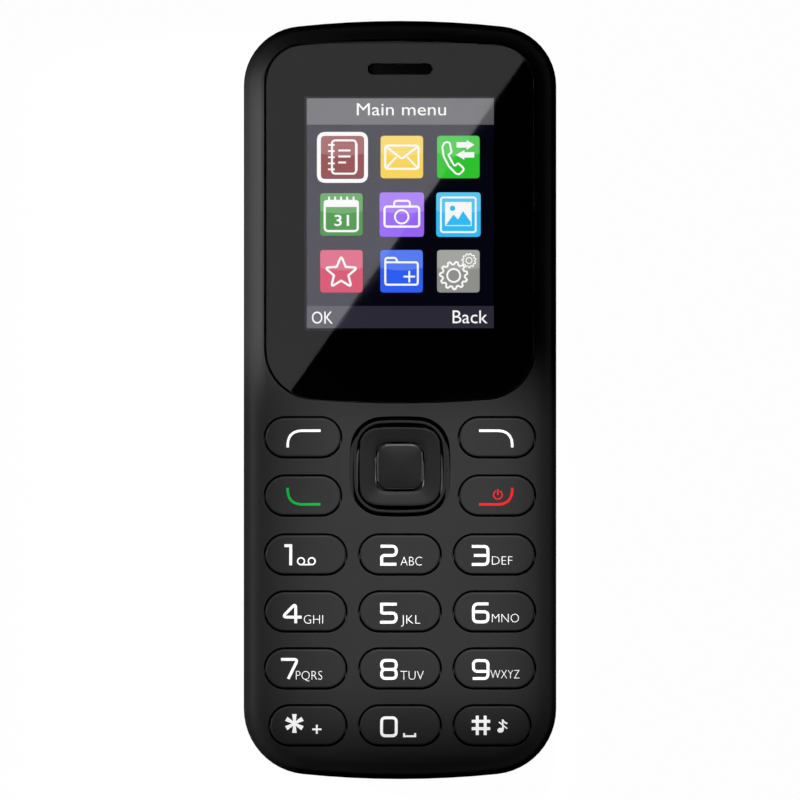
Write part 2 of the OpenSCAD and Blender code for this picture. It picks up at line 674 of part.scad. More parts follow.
module rear_housing() {
    difference() {
        union() {
            difference() {
                body_loft(back_levels(seam_z - seam_gap / 2));
                slab(-over, cover_h + seam_gap) between_y(-body_l, cover_y);
            }
            slab(cover_t + hidden_gap, step_z + hidden_gap) intersection() {
                body_outline(step_inset + hidden_gap);
                between_y(-body_l, cover_y + over);
            }
            slab(step_z + hidden_gap, cover_h + over) intersection() {
                body_outline(cover_t + 2 * hidden_gap);
                between_y(-body_l, cover_y + over);
            }
        }
        // Room for the board, with the screw posts left standing
        slab(roof_top_z, seam_z + over) difference() {
            body_outline(wall_t);
            at_screws() circle(boss_r, $fn = small_fn);
        }
        // Top compartment
        slab(cover_t + hidden_gap, step_z) intersection() {
            body_outline(step_inset + hidden_gap);
            between_y(cover_y + top_wall, body_l);
        }
        slab(step_z, roof_top_z + over) intersection() {
            body_outline(wall_t + hidden_gap / 2);
            between_y(cover_y + top_wall, body_l);
        }
        // Battery bay and the slot for its contacts
        translate([0, battery_y, 0]) block(bay_w, bay_l, -over, bay_z);
        translate([0, contact_y, 0])
            block(contact_w + 2 * hidden_gap, contact_l + 2 * hidden_gap, -over, roof_top_z + over);
        // Places of the two cards in the bay's roof
        translate([0, sim_y - sim_slide / 2, 0])
            block(sim_w + 2 * card_gap, sim_room_l, bay_z - over, bay_z + sim_t + card_gap);
        translate([0, card_y - card_slide / 2, 0])
            block(card_w + 2 * card_shell, card_room_l, bay_z - over, roof_top_z + over);
        // Antenna room at the bottom, and the microphone's
        translate([0, antenna_y, 0]) block(antenna_w + 2 * hidden_gap, antenna_l + 2 * hidden_gap, -over, bay_z);
        translate([0, mic_y, 0]) block(mic_room_w, mic_room_l, mic_z - hidden_gap, seam_z + over);
        // Sound hole of the microphone
        translate([0, -body_l / 2 - over, mic_hole_z]) rotate([-90, 0, 0])
            cylinder(wall_t + 2 * over, r = mic_hole_r, $fn = small_fn);
        // Screw heads and shanks
        slab(-over, bay_z) at_screws() circle(screw_head_r + hidden_gap, $fn = small_fn);
        slab(-over, seam_z + over) at_screws() circle(screw_r + seam_gap, $fn = small_fn);
        // Mouths of the headset socket and the data port
        translate([jack_x, jack_face_y, jack_z]) rotate([-90, 0, 0])
            cylinder(body_l, r = jack_nose_r + jack_gap, $fn = fine_fn);
        translate([0, port_face_y, port_z]) rotate([-90, 0, 0])
            linear_extrude(body_l) pill(port_w + 2 * port_gap, port_h + 2 * port_gap);
        // Camera window, lens hole and loudspeaker grille
        translate([0, speaker_y, -over]) cylinder(camera_seat_z + over, r = camera_r + seam_gap, $fn = fine_fn);
        translate([0, speaker_y, 0]) cylinder(cover_t + 2 * over, r = lens_r + seam_gap, $fn = fine_fn);
        translate([speaker_x, speaker_y, 0]) slab(-over, cover_t + 2 * over)
            for (i = [0:grille_slots - 1])
                translate([(i - (grille_slots - 1) / 2) * grille_pitch, 0])
                    rotate(90) pill(grille_slot_l, grille_slot_w);
    }
}

module battery_cover() {
    difference() {
        body_loft(back_levels(cover_h));
        slab(-over, cover_h + over) between_y(cover_y - seam_gap, body_l);
        slab(cover_t, step_z) intersection() {
            body_outline(step_inset);
            between_y(-body_l, cover_y + over);
        }
        slab(step_z, cover_h + over) intersection() {
            body_outline(cover_t + hidden_gap);
            between_y(-body_l, cover_y + over);
        }
    }
}

module display_window() {
    difference() {
        slab(ledge_z + mask_t, window_top_z) window_outline(0);
        translate([0, slot_y, 0]) slab(ledge_z, body_t + over) pill(slot_w, slot_h);
    }
}

// Black print with the tape that holds the window
module window_mask() {
    difference() {
        slab(ledge_z, ledge_z + mask_t) window_outline(0);
        translate([0, picture_y, 0])
            block(picture_w + 2 * picture_rim, picture_l + 2 * picture_rim, ledge_z - over, body_t);
        translate([0, slot_y, 0]) slab(ledge_z - over, body_t) pill(slot_w, slot_h);
    }
}

module display_gasket() {
    rim = picture_rim + hidden_gap;
    translate([0, picture_y, 0]) difference() {
        block(picture_w + 2 * rim + foam_w, picture_l + 2 * rim + foam_w, foam_z, ledge_z);
        block(picture_w + 2 * rim, picture_l + 2 * rim, foam_z - over, body_t);
    }
}

module lcd_glass() {
    translate([0, frame_y, 0]) block(frame_w - 2 * tray_t, frame_l - 2 * tray_t, foam_z - glass_t, foam_z);
}

// Metal tray that holds the backlight's light guide and carries the glass
module lcd_frame() {
    translate([0, frame_y, 0]) difference() {
        block(frame_w, frame_l, board_top_z, foam_z);
        block(frame_w - 2 * tray_t, frame_l - 2 * tray_t, foam_z - glass_t, foam_z + over);
    }
}

module display_flex() {
    flex_y = frame_y - frame_l / 2;
    translate([-flex_w / 2, flex_y - flex_t, board_top_z]) cube([flex_w, flex_t, (foam_z - board_top_z) * 0.8]);
    translate([-flex_w / 2, flex_y - flex_l, board_top_z]) cube([flex_w, flex_l, flex_t]);
}

module earpiece_mesh() {
    mesh_t = ledge_z - earpiece_top_z;
    translate([0, slot_y, 0]) slab(earpiece_top_z, earpiece_top_z + mesh_t)
        pill(slot_w + slot_h, 2 * slot_h);
}

module earpiece() {
    translate([0, earpiece_y, 0]) {
        slab(earpiece_top_z - earpiece_t, earpiece_top_z) rounded(earpiece_w, earpiece_h, earpiece_h * 0.4);
        for (side = [-1, 1]) translate([side * earpiece_w / 4, 0, 0])
            block(spring_w, spring_l, board_top_z, earpiece_top_z - earpiece_t + seam_gap);
    }
}

module key_left() { pill_key(left_place); }
module key_right() { pill_key(right_place); }
module key_call() { pill_key(call_place); }
module key_end() { pill_key(end_place); }
module key_1() { pill_key(number_places[0]); }
module key_2() { pill_key(number_places[1]); }
module key_3() { pill_key(number_places[2]); }
module key_4() { pill_key(number_places[3]); }
module key_5() { pill_key(number_places[4]); }
module key_6() { pill_key(number_places[5]); }
module key_7() { pill_key(number_places[6]); }
module key_8() { pill_key(number_places[7]); }
module key_9() { pill_key(number_places[8]); }
module key_star() { pill_key(star_place); }
module key_0() { pill_key(zero_place); }
module key_hash() { pill_key(hash_place); }

// Trim rim round the navigation pad, glued behind the face by its foot
module nav_frame() {
    foot_w = nav_opening + 2 * nav_foot_w;
    translate([0, nav_y, 0]) difference() {
        union() {
            slab(face_in_z - nav_foot_t, face_in_z) bulged(foot_w, foot_w, nav_corner_r, nav_side_r);
            slab(face_in_z - nav_foot_t, body_t) bulged(nav_rim_w, nav_rim_w, nav_rim_corner_r, nav_side_r);
        }
        slab(face_in_z - over, body_t + over)
            bulged(nav_room_w, nav_room_w, nav_rim_corner_r - nav_rim_t, nav_side_r);
    }
}

// Ring key: a foot under the trim rim, a top that slopes down to the centre key
module nav_ring() {
    top_z = body_t + nav_ring_rise;
    translate([0, nav_y, 0]) difference() {
        union() {
            slab(nav_foot_z, nav_foot_z + nav_foot_t)
                bulged(nav_ring_foot_w, nav_ring_foot_w, nav_rim_corner_r, nav_side_r);
            slab(nav_foot_z, top_z)
                bulged(nav_ring_w, nav_ring_h, nav_rim_corner_r - nav_rim_t, nav_side_r);
        }
        slab(nav_foot_z - over, body_t + over)
            bulged(nav_hole_w, nav_hole_w, centre_corner_r + key_gap, nav_side_r / 2);
        // Underside stands clear of the pivot but for two lugs
        difference() {
            block(pivot_room_w, pivot_room_w, nav_foot_z - over, nav_foot_z + nav_foot_t * 1.2);
            block(pivot_lug_w, pivot_room_w + over, nav_foot_z - over, body_t);
        }
        // Four facets that slope down to the centre and meet on the diagonals
        intersection() {
            rotate([90, 0, 0]) linear_extrude(nav_ring_w, center = true) dish_profile(nav_ring_w, top_z);
            rotate([90, 0, 90]) linear_extrude(nav_ring_w, center = true) dish_profile(nav_ring_h, top_z);
        }
    }
}

// Side view of the dish in the ring key: its floor is the centre key's hole, its brim lies inside the top
module dish_profile(w, top_z) {
    floor_half = nav_hole_w / 2;
    brim_half = w / 2 - key_edge;
    polygon([[-brim_half, top_z + over], [-brim_half, top_z], [-floor_half, top_z - nav_dish],
        [floor_half, top_z - nav_dish], [brim_half, top_z], [brim_half, top_z + over]]);
}

// Small gimbal ring that the ring key rocks on
module nav_pivot() {
    translate([0, nav_y, 0]) difference() {
        block(pivot_w, pivot_w, pivot_z, pivot_z + pivot_t);
        slab(pivot_z - over, body_t) bulged(nav_hole_w, nav_hole_w, centre_corner_r + key_gap, nav_side_r / 2);
    }
}

module nav_centre() {
    top_z = body_t + nav_centre_rise;
    top_w = nav_centre_w - 2 * key_edge;
    translate([0, nav_y, 0]) {
        slab(key_foot_z, top_z - key_edge)
            bulged(nav_centre_w, nav_centre_w, centre_corner_r, nav_side_r / 2);
        slab(key_foot_z, top_z)
            bulged(top_w, top_w, centre_corner_r - key_edge, nav_side_r / 2);
    }
}

// Silicone mat: a sheet on a rim wall, with a plunger under every key
module keypad_mat() {
    slab(mat_z, mat_top_z) mat_outline(0);
    slab(board_top_z, mat_z) difference() {
        mat_outline(0);
        mat_outline(mat_rim);
    }
    slab(plunger_z, mat_z) {
        for (place = key_places) translate([place[0], place[1]]) circle(plunger_r, $fn = small_fn);
        for (place = nav_dome_places) translate([place[0], nav_y + place[1]]) circle(plunger_r * 0.7, $fn = small_fn);
    }
}

module mat_outline(inset) {
    intersection() {
        body_outline(wall_t + mat_side_gap + inset);
        between_y(mat_bottom_y + inset, mat_top_y - inset);
    }
}

module dome_sheet() {
    slab(board_top_z, dome_z) mat_outline(mat_rim + hidden_gap);
    for (place = key_places) translate([place[0], place[1], dome_z]) dome(dome_r);
    for (place = nav_dome_places) translate([place[0], nav_y + place[1], dome_z]) dome(nav_dome_r);
}

module dome(r) {
    cylinder(dome_h, r1 = r, r2 = r * 0.45, $fn = small_fn);
}

module main_board() {
    difference() {
        slab(board_z, board_top_z) body_outline(wall_t + board_gap);
        slab(board_z - over, board_top_z + over) at_screws() circle(screw_r + hidden_gap, $fn = small_fn);
    }
}

module board_chips() {
    chip_z = board_z - can_h * 0.6;
    translate([radio_x, can_y, 0]) block(radio_can_w * 0.5, radio_can_l * 0.4, chip_z, board_z);
    translate([processor_x, can_y, 0]) block(processor_can_w * 0.6, processor_can_l * 0.6, chip_z, board_z);
}

module can(w, l) {
    difference() {
        block(w, l, board_z - can_h, board_z);
        block(w - 2 * can_t, l - 2 * can_t, board_z - can_h + can_t, board_z + over);
    }
}

module shield_radio() { translate([radio_x, can_y, 0]) can(radio_can_w, radio_can_l); }
module shield_processor() { translate([processor_x, can_y, 0]) can(processor_can_w, processor_can_l); }

module battery() {
    translate([0, battery_y, 0])
        slab(battery_z, battery_z + battery_t) rounded(battery_w, battery_l, battery_corner_r);
}

// Contact block on the board with three blades that press on the battery
module battery_contacts() {
    translate([0, contact_y, 0]) block(contact_w, contact_l, contact_z, board_z);
    blade_l = contact_y - (battery_y + battery_l / 2);
    for (i = [-1:1]) translate([i * contact_w / 3, contact_y - blade_l / 2, 0])
        block(spring_w, blade_l, contact_z, battery_z + battery_t);
}

// Bridge across the bay's roof that keeps the SIM card in its place
module sim_holder() {
    translate([0, sim_y, 0]) difference() {
        block(battery_w, sim_bridge_l, bay_z - bridge_t, bay_z);
        block(sim_w * 0.6, sim_bridge_l * 0.4, bay_z - bridge_t - over, bay_z + over);
    }
}

module sim_card() {
    cut = sim_l * 0.2;
    translate([-sim_w / 2, sim_y - sim_l / 2, bay_z + card_gap / 2]) linear_extrude(sim_t - card_gap / 2)
        polygon([[0, 0], [sim_w, 0], [sim_w, sim_l - cut], [sim_w - cut, sim_l], [0, sim_l]]);
}

// Metal shell of the memory card's slot, open towards the bay's lower end
module card_slot() {
    wall = card_shell - seam_gap;
    translate([0, card_y, 0]) difference() {
        block(card_w + 2 * wall, card_l + 2 * wall, card_z - card_shell_t, board_z);
        translate([0, -over / 2, 0]) block(card_w + 2 * card_gap, card_l + over, card_z, card_z + card_t + card_gap);
        translate([0, -card_l, 0]) block(card_w + 2 * card_gap, card_l + over, card_z, card_z + card_t + card_gap);
    }
}

module memory_card() {
    cut = card_l * 0.12;
    translate([-card_w / 2, card_y - card_l / 2, card_z]) linear_extrude(card_t)
        polygon([[0, 0], [card_w, 0], [card_w, card_l * 0.6], [card_w - cut, card_l * 0.6 + cut],
            [card_w - cut, card_l], [0, card_l]]);
}

module loudspeaker_mesh() {
    translate([speaker_x, speaker_y, 0])
        slab(cover_t + hidden_gap, speaker_z) rounded(speaker_w * 0.9, speaker_l * 0.9, speaker_l * 0.2);
}

module loudspeaker() {
    translate([speaker_x, speaker_y, 0]) {
        slab(speaker_z, speaker_z + speaker_t) rounded(speaker_w, speaker_l, speaker_l * 0.2);
        for (side = [-1, 1]) translate([side * speaker_w / 4, 0, 0])
            block(spring_w, spring_l, speaker_z + speaker_t - seam_gap, board_z);
    }
}

module motor_case() {
    translate([motor_x, motor_y, motor_z]) rotate([0, 90, 0]) difference() {
        cylinder(motor_l, r = motor_r, $fn = fine_fn);
        translate([0, 0, motor_l - shaft_depth]) cylinder(shaft_depth + over, r = shaft_r + seam_gap, $fn = small_fn);
    }
    for (side = [-1, 1]) translate([motor_x + motor_l / 2 + side * motor_l / 4, motor_y, 0])
        block(spring_w, spring_l / 2, motor_z + motor_r - seam_gap, board_z);
}

// Rubber saddle under the motor
module motor_holder() {
    translate([motor_x + motor_l / 2, motor_y, 0]) difference() {
        block(motor_l * 0.8, 2 * motor_r, cover_t + hidden_gap, motor_z);
        translate([-motor_l, 0, motor_z]) rotate([0, 90, 0]) cylinder(2 * motor_l, r = motor_r, $fn = fine_fn);
    }
}

// Shaft with a half-round weight on it
module motor_weight() {
    translate([motor_x + motor_l - shaft_depth + seam_gap, motor_y, motor_z]) rotate([0, 90, 0])
        cylinder(shaft_depth + hidden_gap + weight_l, r = shaft_r, $fn = small_fn);
    translate([motor_x + motor_l + hidden_gap, motor_y, motor_z]) rotate([0, 90, 0]) difference() {
        cylinder(weight_l, r = motor_r * 0.95, $fn = fine_fn);
        translate([-2 * motor_r - shaft_r, -2 * motor_r, -over])
            cube([2 * motor_r, 4 * motor_r, weight_l + 2 * over]);
    }
}

module microphone() {
    translate([0, mic_face_y + boot_l + mic_l / 2, 0]) block(mic_w, mic_l, mic_z, board_z);
}

module mic_boot() {
    translate([0, mic_face_y + boot_l / 2, 0]) difference() {
        block(mic_w + 2 * hidden_gap, boot_l, mic_z, board_z);
        translate([0, -boot_l, mic_hole_z]) rotate([-90, 0, 0]) cylinder(2 * boot_l, r = mic_hole_r, $fn = small_fn);
    }
}

// Metal shell with a tongue inside, on a foot that reaches up to the board
module data_port() {
    translate([0, port_face_y, port_z]) rotate([90, 0, 0]) {
        difference() {
            linear_extrude(port_l) pill(port_w, port_h);
            translate([0, 0, -over]) linear_extrude(port_l + over - port_wall)
                pill(port_w - 2 * port_wall, port_h - 2 * port_wall);
        }
        translate([0, 0, port_l / 2]) cube([port_w * 0.6, port_h * 0.25, port_l * 0.9], center = true);
    }
    translate([0, port_face_y - port_l * 0.6, 0])
        block(port_w * 0.8, port_l * 0.6, port_z + port_h / 2 - seam_gap, board_z);
}

module audio_socket() {
    difference() {
        union() {
            translate([jack_x, jack_face_y - jack_case_l / 2, 0])
                block(jack_case_w, jack_case_l, jack_z - jack_nose_r, board_z);
            translate([jack_x, jack_face_y - over, jack_z]) rotate([-90, 0, 0])
                cylinder(jack_nose_l + over, r = jack_nose_r, $fn = fine_fn);
        }
        translate([jack_x, jack_face_y + jack_nose_l - jack_depth, jack_z]) rotate([-90, 0, 0])
            cylinder(jack_depth + over, r = jack_r, $fn = fine_fn);
    }
}

module camera_window() {
    translate([0, speaker_y, camera_seat_z - camera_glass_t]) cylinder(camera_glass_t, r = camera_r, $fn = fine_fn);
}

module camera_module() {
    translate([0, speaker_y, 0]) {
        translate([0, 0, camera_seat_z])
            cylinder(camera_body_z - camera_seat_z + seam_gap, r = lens_r, $fn = fine_fn);
        block(camera_w, camera_w, camera_body_z, camera_body_z + camera_w * 0.4);
        block(camera_w * 0.6, camera_w * 0.5, camera_body_z + camera_w * 0.4 - seam_gap, board_z);
    }
}

module antenna_carrier() {
    translate([0, antenna_y, 0]) block(antenna_w, antenna_l, antenna_z + pattern_t, bay_z);
}

// Bent metal track on the carrier's back
module antenna_pattern() {
    w = antenna_w * 0.94;
    l = antenna_l * 0.86;
    translate([0, antenna_y, 0]) slab(antenna_z, antenna_z + pattern_t) difference() {
        square([w, l], center = true);
        translate([w * 0.04, 0]) square([w * 0.8, l * 0.3], center = true);
        translate([w * 0.3, l * 0.45]) square([w * 0.5, l * 0.4], center = true);
    }
}

module case_screws() {
    slab(bay_z - screw_head_t, bay_z) at_screws() circle(screw_head_r, $fn = small_fn);
    slab(bay_z - seam_gap, board_top_z + pilot_l) at_screws() circle(screw_r, $fn = small_fn);
}

front_housing();
rear_housing();
battery_cover();
display_window();
window_mask();
display_gasket();
lcd_glass();
lcd_frame();
display_flex();
earpiece_mesh();
earpiece();
key_left();
key_right();
key_call();
key_end();
nav_frame();
nav_ring();
nav_pivot();
nav_centre();
key_1();
key_2();
key_3();
key_4();
key_5();
key_6();
key_7();
key_8();
key_9();
key_star();
key_0();
key_hash();
keypad_mat();
dome_sheet();
main_board();
board_chips();
shield_radio();
shield_processor();
battery();
battery_contacts();
sim_holder();
sim_card();
card_slot();
memory_card();
loudspeaker();
loudspeaker_mesh();
motor_case();
motor_holder();
motor_weight();
microphone();
mic_boot();
data_port();
audio_socket();
camera_module();
camera_window();
antenna_carrier();
antenna_pattern();
case_screws();
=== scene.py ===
# %% [markdown]
# # A bar-shaped mobile phone
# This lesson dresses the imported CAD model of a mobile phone: satin plastic housings, a glossy window over a
# lit colour screen, a five-way pad and printed keys. The CAD model is loaded first, and it fixes every size
# and place. The phone lies on its back with the screen up, so the photograph's front view is seen from above.

# %% Load the CAD model as the fixed frame
import math

import bmesh
import bpy
from mathutils import Matrix, Vector


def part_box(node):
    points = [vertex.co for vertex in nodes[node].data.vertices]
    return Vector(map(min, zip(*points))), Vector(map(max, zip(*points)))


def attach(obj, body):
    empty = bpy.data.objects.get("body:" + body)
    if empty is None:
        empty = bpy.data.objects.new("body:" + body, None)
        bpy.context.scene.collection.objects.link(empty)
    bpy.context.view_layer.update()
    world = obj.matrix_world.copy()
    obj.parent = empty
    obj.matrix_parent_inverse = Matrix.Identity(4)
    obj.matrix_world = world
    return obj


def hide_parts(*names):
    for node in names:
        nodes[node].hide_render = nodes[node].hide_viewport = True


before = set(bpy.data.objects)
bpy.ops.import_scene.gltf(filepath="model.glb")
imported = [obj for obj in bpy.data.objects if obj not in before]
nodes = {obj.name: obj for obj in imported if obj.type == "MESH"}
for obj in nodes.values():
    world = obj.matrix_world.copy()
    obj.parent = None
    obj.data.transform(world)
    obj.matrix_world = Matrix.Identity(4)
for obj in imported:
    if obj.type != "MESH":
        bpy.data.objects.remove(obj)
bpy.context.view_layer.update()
MM = 0.001
print("CAD nodes:", len(nodes))

def low_high(node):
    """Lowest and highest corner of a CAD node, as two vectors in metres."""
    low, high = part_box(node)
    return Vector(low), Vector(high)

def middle(node):
    low, high = low_high(node)
    return (low + high) / 2

# %% [markdown]
# ## Camera
# A product picture is taken from far away with a long lens, so that the sides don't lean. The camera looks
# straight down on the face from three metres, and its lens is chosen so that the frame is 800 pixels
# of 0.1515 mm wide at the height of the face. That is the scale at which the body is 115 mm long.

# %% Camera straight above the face
def into_scene(name, data):
    """A new object that carries the data, linked to the scene."""
    made = bpy.data.objects.new(name, data)
    bpy.context.scene.collection.objects.link(made)
    return made

FRAME = 800
SENSOR = 36
PIXEL = 0.1515 * MM
FACE_Z = low_high("front_housing")[1].z
DISTANCE = 3.0

camera_data = bpy.data.cameras.new("camera")
camera_data.sensor_width = SENSOR
camera_data.lens = SENSOR * DISTANCE / (FRAME * PIXEL)
camera = into_scene("camera", camera_data)
camera.location = (0, 0, FACE_Z + DISTANCE)
bpy.context.scene.camera = camera
bpy.context.scene.view_settings.view_transform = "Standard"
print("face height in mm:", round(FACE_Z / MM, 2), "lens:", round(camera_data.lens, 1))

# %% [markdown]
# ## Places in the picture
# Things that are only printed, such as legends and icons, have no place in the CAD model. Their places are
# given in pixels of the picture and turned into metres here. What lies deeper than the face looks smaller, so
# it is widened by the same share.

# %% Pixels of the picture to metres
def px(x, y, z=None):
    """A pixel of the picture as X and Y in metres, on the face or at a height."""
    depth = 0 if z is None else FACE_Z - z
    size = PIXEL * (1 + depth / DISTANCE)
    return (x - FRAME / 2) * size, (FRAME / 2 - y) * size

def ink(code):
    """A colour code as it looks on a screen, turned into the linear values that shaders use."""
    values = [int(code[i:i + 2], 16) / 255 for i in (1, 3, 5)]
    return [v / 12.92 if v < 0.04045 else ((v + 0.055) / 1.055) ** 2.4 for v in values] + [1]

print("window's left edge in mm:", round(px(266, 0)[0] / MM, 2))

# %% [markdown]
# ## Nodes
# A material is a net of small nodes. Three helpers keep such a net readable: one adds a node with its
# settings and inputs, one does a sum, and one spreads a value over a new range. Each input is a plain value
# or the output of another node. The same net can be made by hand in the shader editor, which is slower to
# repeat.

# %% Nodes, sums and ranges
def feed(tree, socket, value):
    """Give a socket a value, or wire another node's output to it."""
    if isinstance(value, bpy.types.NodeSocket):
        tree.links.new(value, socket)
    else:
        socket.default_value = value

def add_node(tree, kind, inputs=None, **settings):
    """A new shader node. Its settings come first, because some of them decide which inputs it has."""
    made = tree.nodes.new("ShaderNode" + kind)
    for name, value in settings.items():
        setattr(made, name, value)
    for name, value in (inputs or {}).items():
        feed(tree, made.inputs[name], value)
    return made

def maths(tree, operation, first, second=0.0):
    return add_node(tree, "Math", {0: first, 1: second}, operation=operation).outputs["Value"]

def spread(tree, value, start, end, low=0.0, high=1.0, **settings):
    """Low where the value is at start, high where it is at end, and between them in between."""
    inputs = {"Value": value, "From Min": start, "From Max": end, "To Min": low, "To Max": high}
    return add_node(tree, "MapRange", inputs, **settings).outputs["Result"]

print("node helpers ready")

# %% [markdown]
# ## Shared surface effects
# Moulded plastic has a fine grain from the etched mould, and a phone that has been handled has patches that
# are slightly smoother. Drawn metal has fine lines along its length instead. Both are built once as a node
# group, and every material sets its own amounts. A group puts out a height for the bump, a roughness and the
# patches, and the shader stays in the material.

# %% Node groups for grain and for drawn metal
def start_group(name, inputs):
    group = bpy.data.node_groups.new(name, "ShaderNodeTree")
    for label, value in inputs:
        socket = group.interface.new_socket(label, in_out="INPUT", socket_type="NodeSocketFloat")
        socket.default_value = value
    for label in ("Height", "Roughness", "Patch"):
        group.interface.new_socket(label, in_out="OUTPUT", socket_type="NodeSocketFloat")
    return group, group.nodes.new("NodeGroupInput").outputs, group.nodes.new("NodeGroupOutput").inputs

def end_group(group, given, result, height, patch):
    roughness = spread(group, patch, 0.0, 1.0, given["Smooth"], given["Rough"])
    for label, value in (("Height", height), ("Roughness", roughness), ("Patch", patch)):
        feed(group, result[label], value)
    return group

def grain_group():
    group, given, result = start_group("moulded_grain", [("Fineness", 4000), ("Smooth", 0.4), ("Rough", 0.5)])
    place = add_node(group, "TexCoord").outputs["Object"]
    grain = add_node(group, "TexNoise", {"Vector": place, "Scale": given["Fineness"], "Detail": 2})
    patches = add_node(group, "TexNoise", {"Vector": place, "Scale": 90, "Detail": 3})
    return end_group(group, given, result, grain.outputs["Fac"], patches.outputs["Fac"])

def drawn_group():
    group, given, result = start_group("drawn_metal", [("Fineness", 2500), ("Smooth", 0.25), ("Rough", 0.4)])
    place = add_node(group, "TexCoord").outputs["Object"]
    stretch = add_node(group, "Mapping", {"Vector": place, "Scale": (0.04, 1, 1)})
    noise = {"Vector": stretch.outputs["Vector"], "Scale": given["Fineness"], "Detail": 2}
    lines = add_node(group, "TexNoise", noise).outputs["Fac"]
    return end_group(group, given, result, lines, lines)

GRAIN = grain_group()
DRAWN = drawn_group()
print("groups:", [g.name for g in (GRAIN, DRAWN)])

# %% [markdown]
# ## Finishes
# A plastic shines most where one looks along it. In a white room that would turn the edges of the phone grey,
# but its dull plastic stays black there. So the gloss fades at a grazing look, and on the housings it also
# fades where an edge turns down. Layer Weight tells how grazing the look is, and the surface's own direction
# tells how steep it is. More roughness alone would grey the edges even more.

# %% Gloss that fades
def faded_gloss(tree, gloss, rim):
    """The gloss, less at a grazing look; rim is one where it also fades on edges that turn down."""
    facing = add_node(tree, "LayerWeight").outputs["Facing"]
    direction = add_node(tree, "TexCoord").outputs["Normal"]
    upright = maths(tree, "ABSOLUTE", add_node(tree, "SeparateXYZ", {"Vector": direction}).outputs["Z"])
    steep = spread(tree, upright, 0.95, 0.85, 0.0, rim)
    edge = maths(tree, "MULTIPLY", spread(tree, facing, 0.12, 0.4), steep)
    faded = maths(tree, "MAXIMUM", edge, spread(tree, facing, 0.75, 0.95))
    return spread(tree, faded, 0.0, 1.0, gloss, 0.0)

print("gloss helper ready")

# %% [markdown]
# One maker function covers the solid finishes, because they differ only in their numbers: colour, the two
# ends of the roughness, how fine and how deep the grain is, and whether it is metal. The colour wanders a
# little with the patches, as real plastic and foil do. The white legends of the keys glow a little as painted
# light, which keeps them white where the lamps fall off. Values that are the same all over sit on the
# shader's own sockets.

# %% A maker for solid finishes
def finish(name, code, smooth, rough, fineness=4000, depth=0.01, metallic=0.0, specular=0.5, wander=0.15,
           drawn=False, glow=0.0, rim=None):
    """A solid finish. The depth of its grain is in mm, and its gloss fades if rim is given."""
    mat = bpy.data.materials.new(name)
    mat.use_nodes = True
    tree = mat.node_tree
    sockets = tree.nodes["Principled BSDF"].inputs
    colour = ink(code)
    effect = add_node(tree, "Group", {"Fineness": fineness, "Smooth": smooth, "Rough": rough},
                      node_tree=DRAWN if drawn else GRAIN)
    darker = [c * (1 - wander) for c in colour[:3]] + [1]
    paler = [min(1, c * (1 + wander)) for c in colour[:3]] + [1]
    shades = add_node(tree, "Mix", {"Factor": effect.outputs["Patch"], "A": darker, "B": paler},
                          data_type="RGBA")
    values = {"Base Color": shades.outputs["Result"], "Roughness": effect.outputs["Roughness"],
              "Metallic": metallic, "Specular IOR Level": specular, "Emission Color": colour,
              "Emission Strength": glow}
    for label, value in values.items():
        feed(tree, sockets[label], value)
    if rim is not None:
        feed(tree, sockets["Specular IOR Level"], faded_gloss(tree, specular, rim))
    if depth:
        bump = add_node(tree, "Bump", {"Distance": depth * MM, "Strength": 0.5,
                                       "Height": effect.outputs["Height"]})
        feed(tree, sockets["Normal"], bump.outputs["Normal"])
    return mat

print("finish maker ready")

# %% [markdown]
# The outside of the phone is all black, and its pieces differ only in gloss: satin housings and keys, a
# duller trim frame, a smoother centre key, and the black print behind the window. The centre key's thin edge
# is lighter, a painted highlight, and the print black also stands as painted shade on steep walls beside
# narrow gaps.

# %% Outer plastics and inks
satin_black = finish("satin_black_plastic", "#282828", 0.5, 0.6, fineness=5000, specular=0.1, rim=1.0)
key_black = finish("key_plastic", "#292929", 0.48, 0.56, fineness=6000, depth=0.008, specular=0.1, rim=0.0)
rim_black = finish("rim_plastic", "#232323", 0.5, 0.6, fineness=3000, depth=0.003, specular=0.05, rim=0.0)
ring_black = finish("ring_plastic", "#1d1d1d", 0.45, 0.53, fineness=5000, depth=0.006, specular=0.06, rim=0.0)
centre_black = finish("centre_plastic", "#171718", 0.34, 0.42, fineness=3000, depth=0.003, specular=0.16,
                      rim=0.0)
# A lighter colour for the centre key's thin bevel: a painted highlight.
centre_highlight_paint = finish("centre_rim_painted_highlight", "#56504d", 0.45, 0.55, fineness=3000, depth=0.0, specular=0.03)
# The black of the window's print. It also stands as painted shade on the steep walls of the pad.
print_black_and_painted_shade = finish("print_and_painted_shade", "#020202", 0.7, 0.8, fineness=3000, depth=0.0, specular=0.0)
# The white legends glow: painted light that keeps them bright where the lamps fall off.
white_ink_painted_glow = finish("white_legend_painted_glow", "#c8c8c8", 0.4, 0.5, fineness=6000, depth=0.003, specular=0.1, wander=0.03,
                   glow=0.9)
green_ink = finish("green_legend", "#00a838", 0.4, 0.5, fineness=6000, depth=0.003, specular=0.1, wander=0.05)
red_ink = finish("red_legend", "#dc1c22", 0.4, 0.5, fineness=6000, depth=0.003, specular=0.1, wander=0.05)
print("finishes:", len(bpy.data.materials))

# %% [markdown]
# Inside are sheet steel, gilt contacts, copper, silicone, foam, rubber, chip resin, film and the wrap of the
# battery. They show when the cover is off, so each has its own colour and grain.

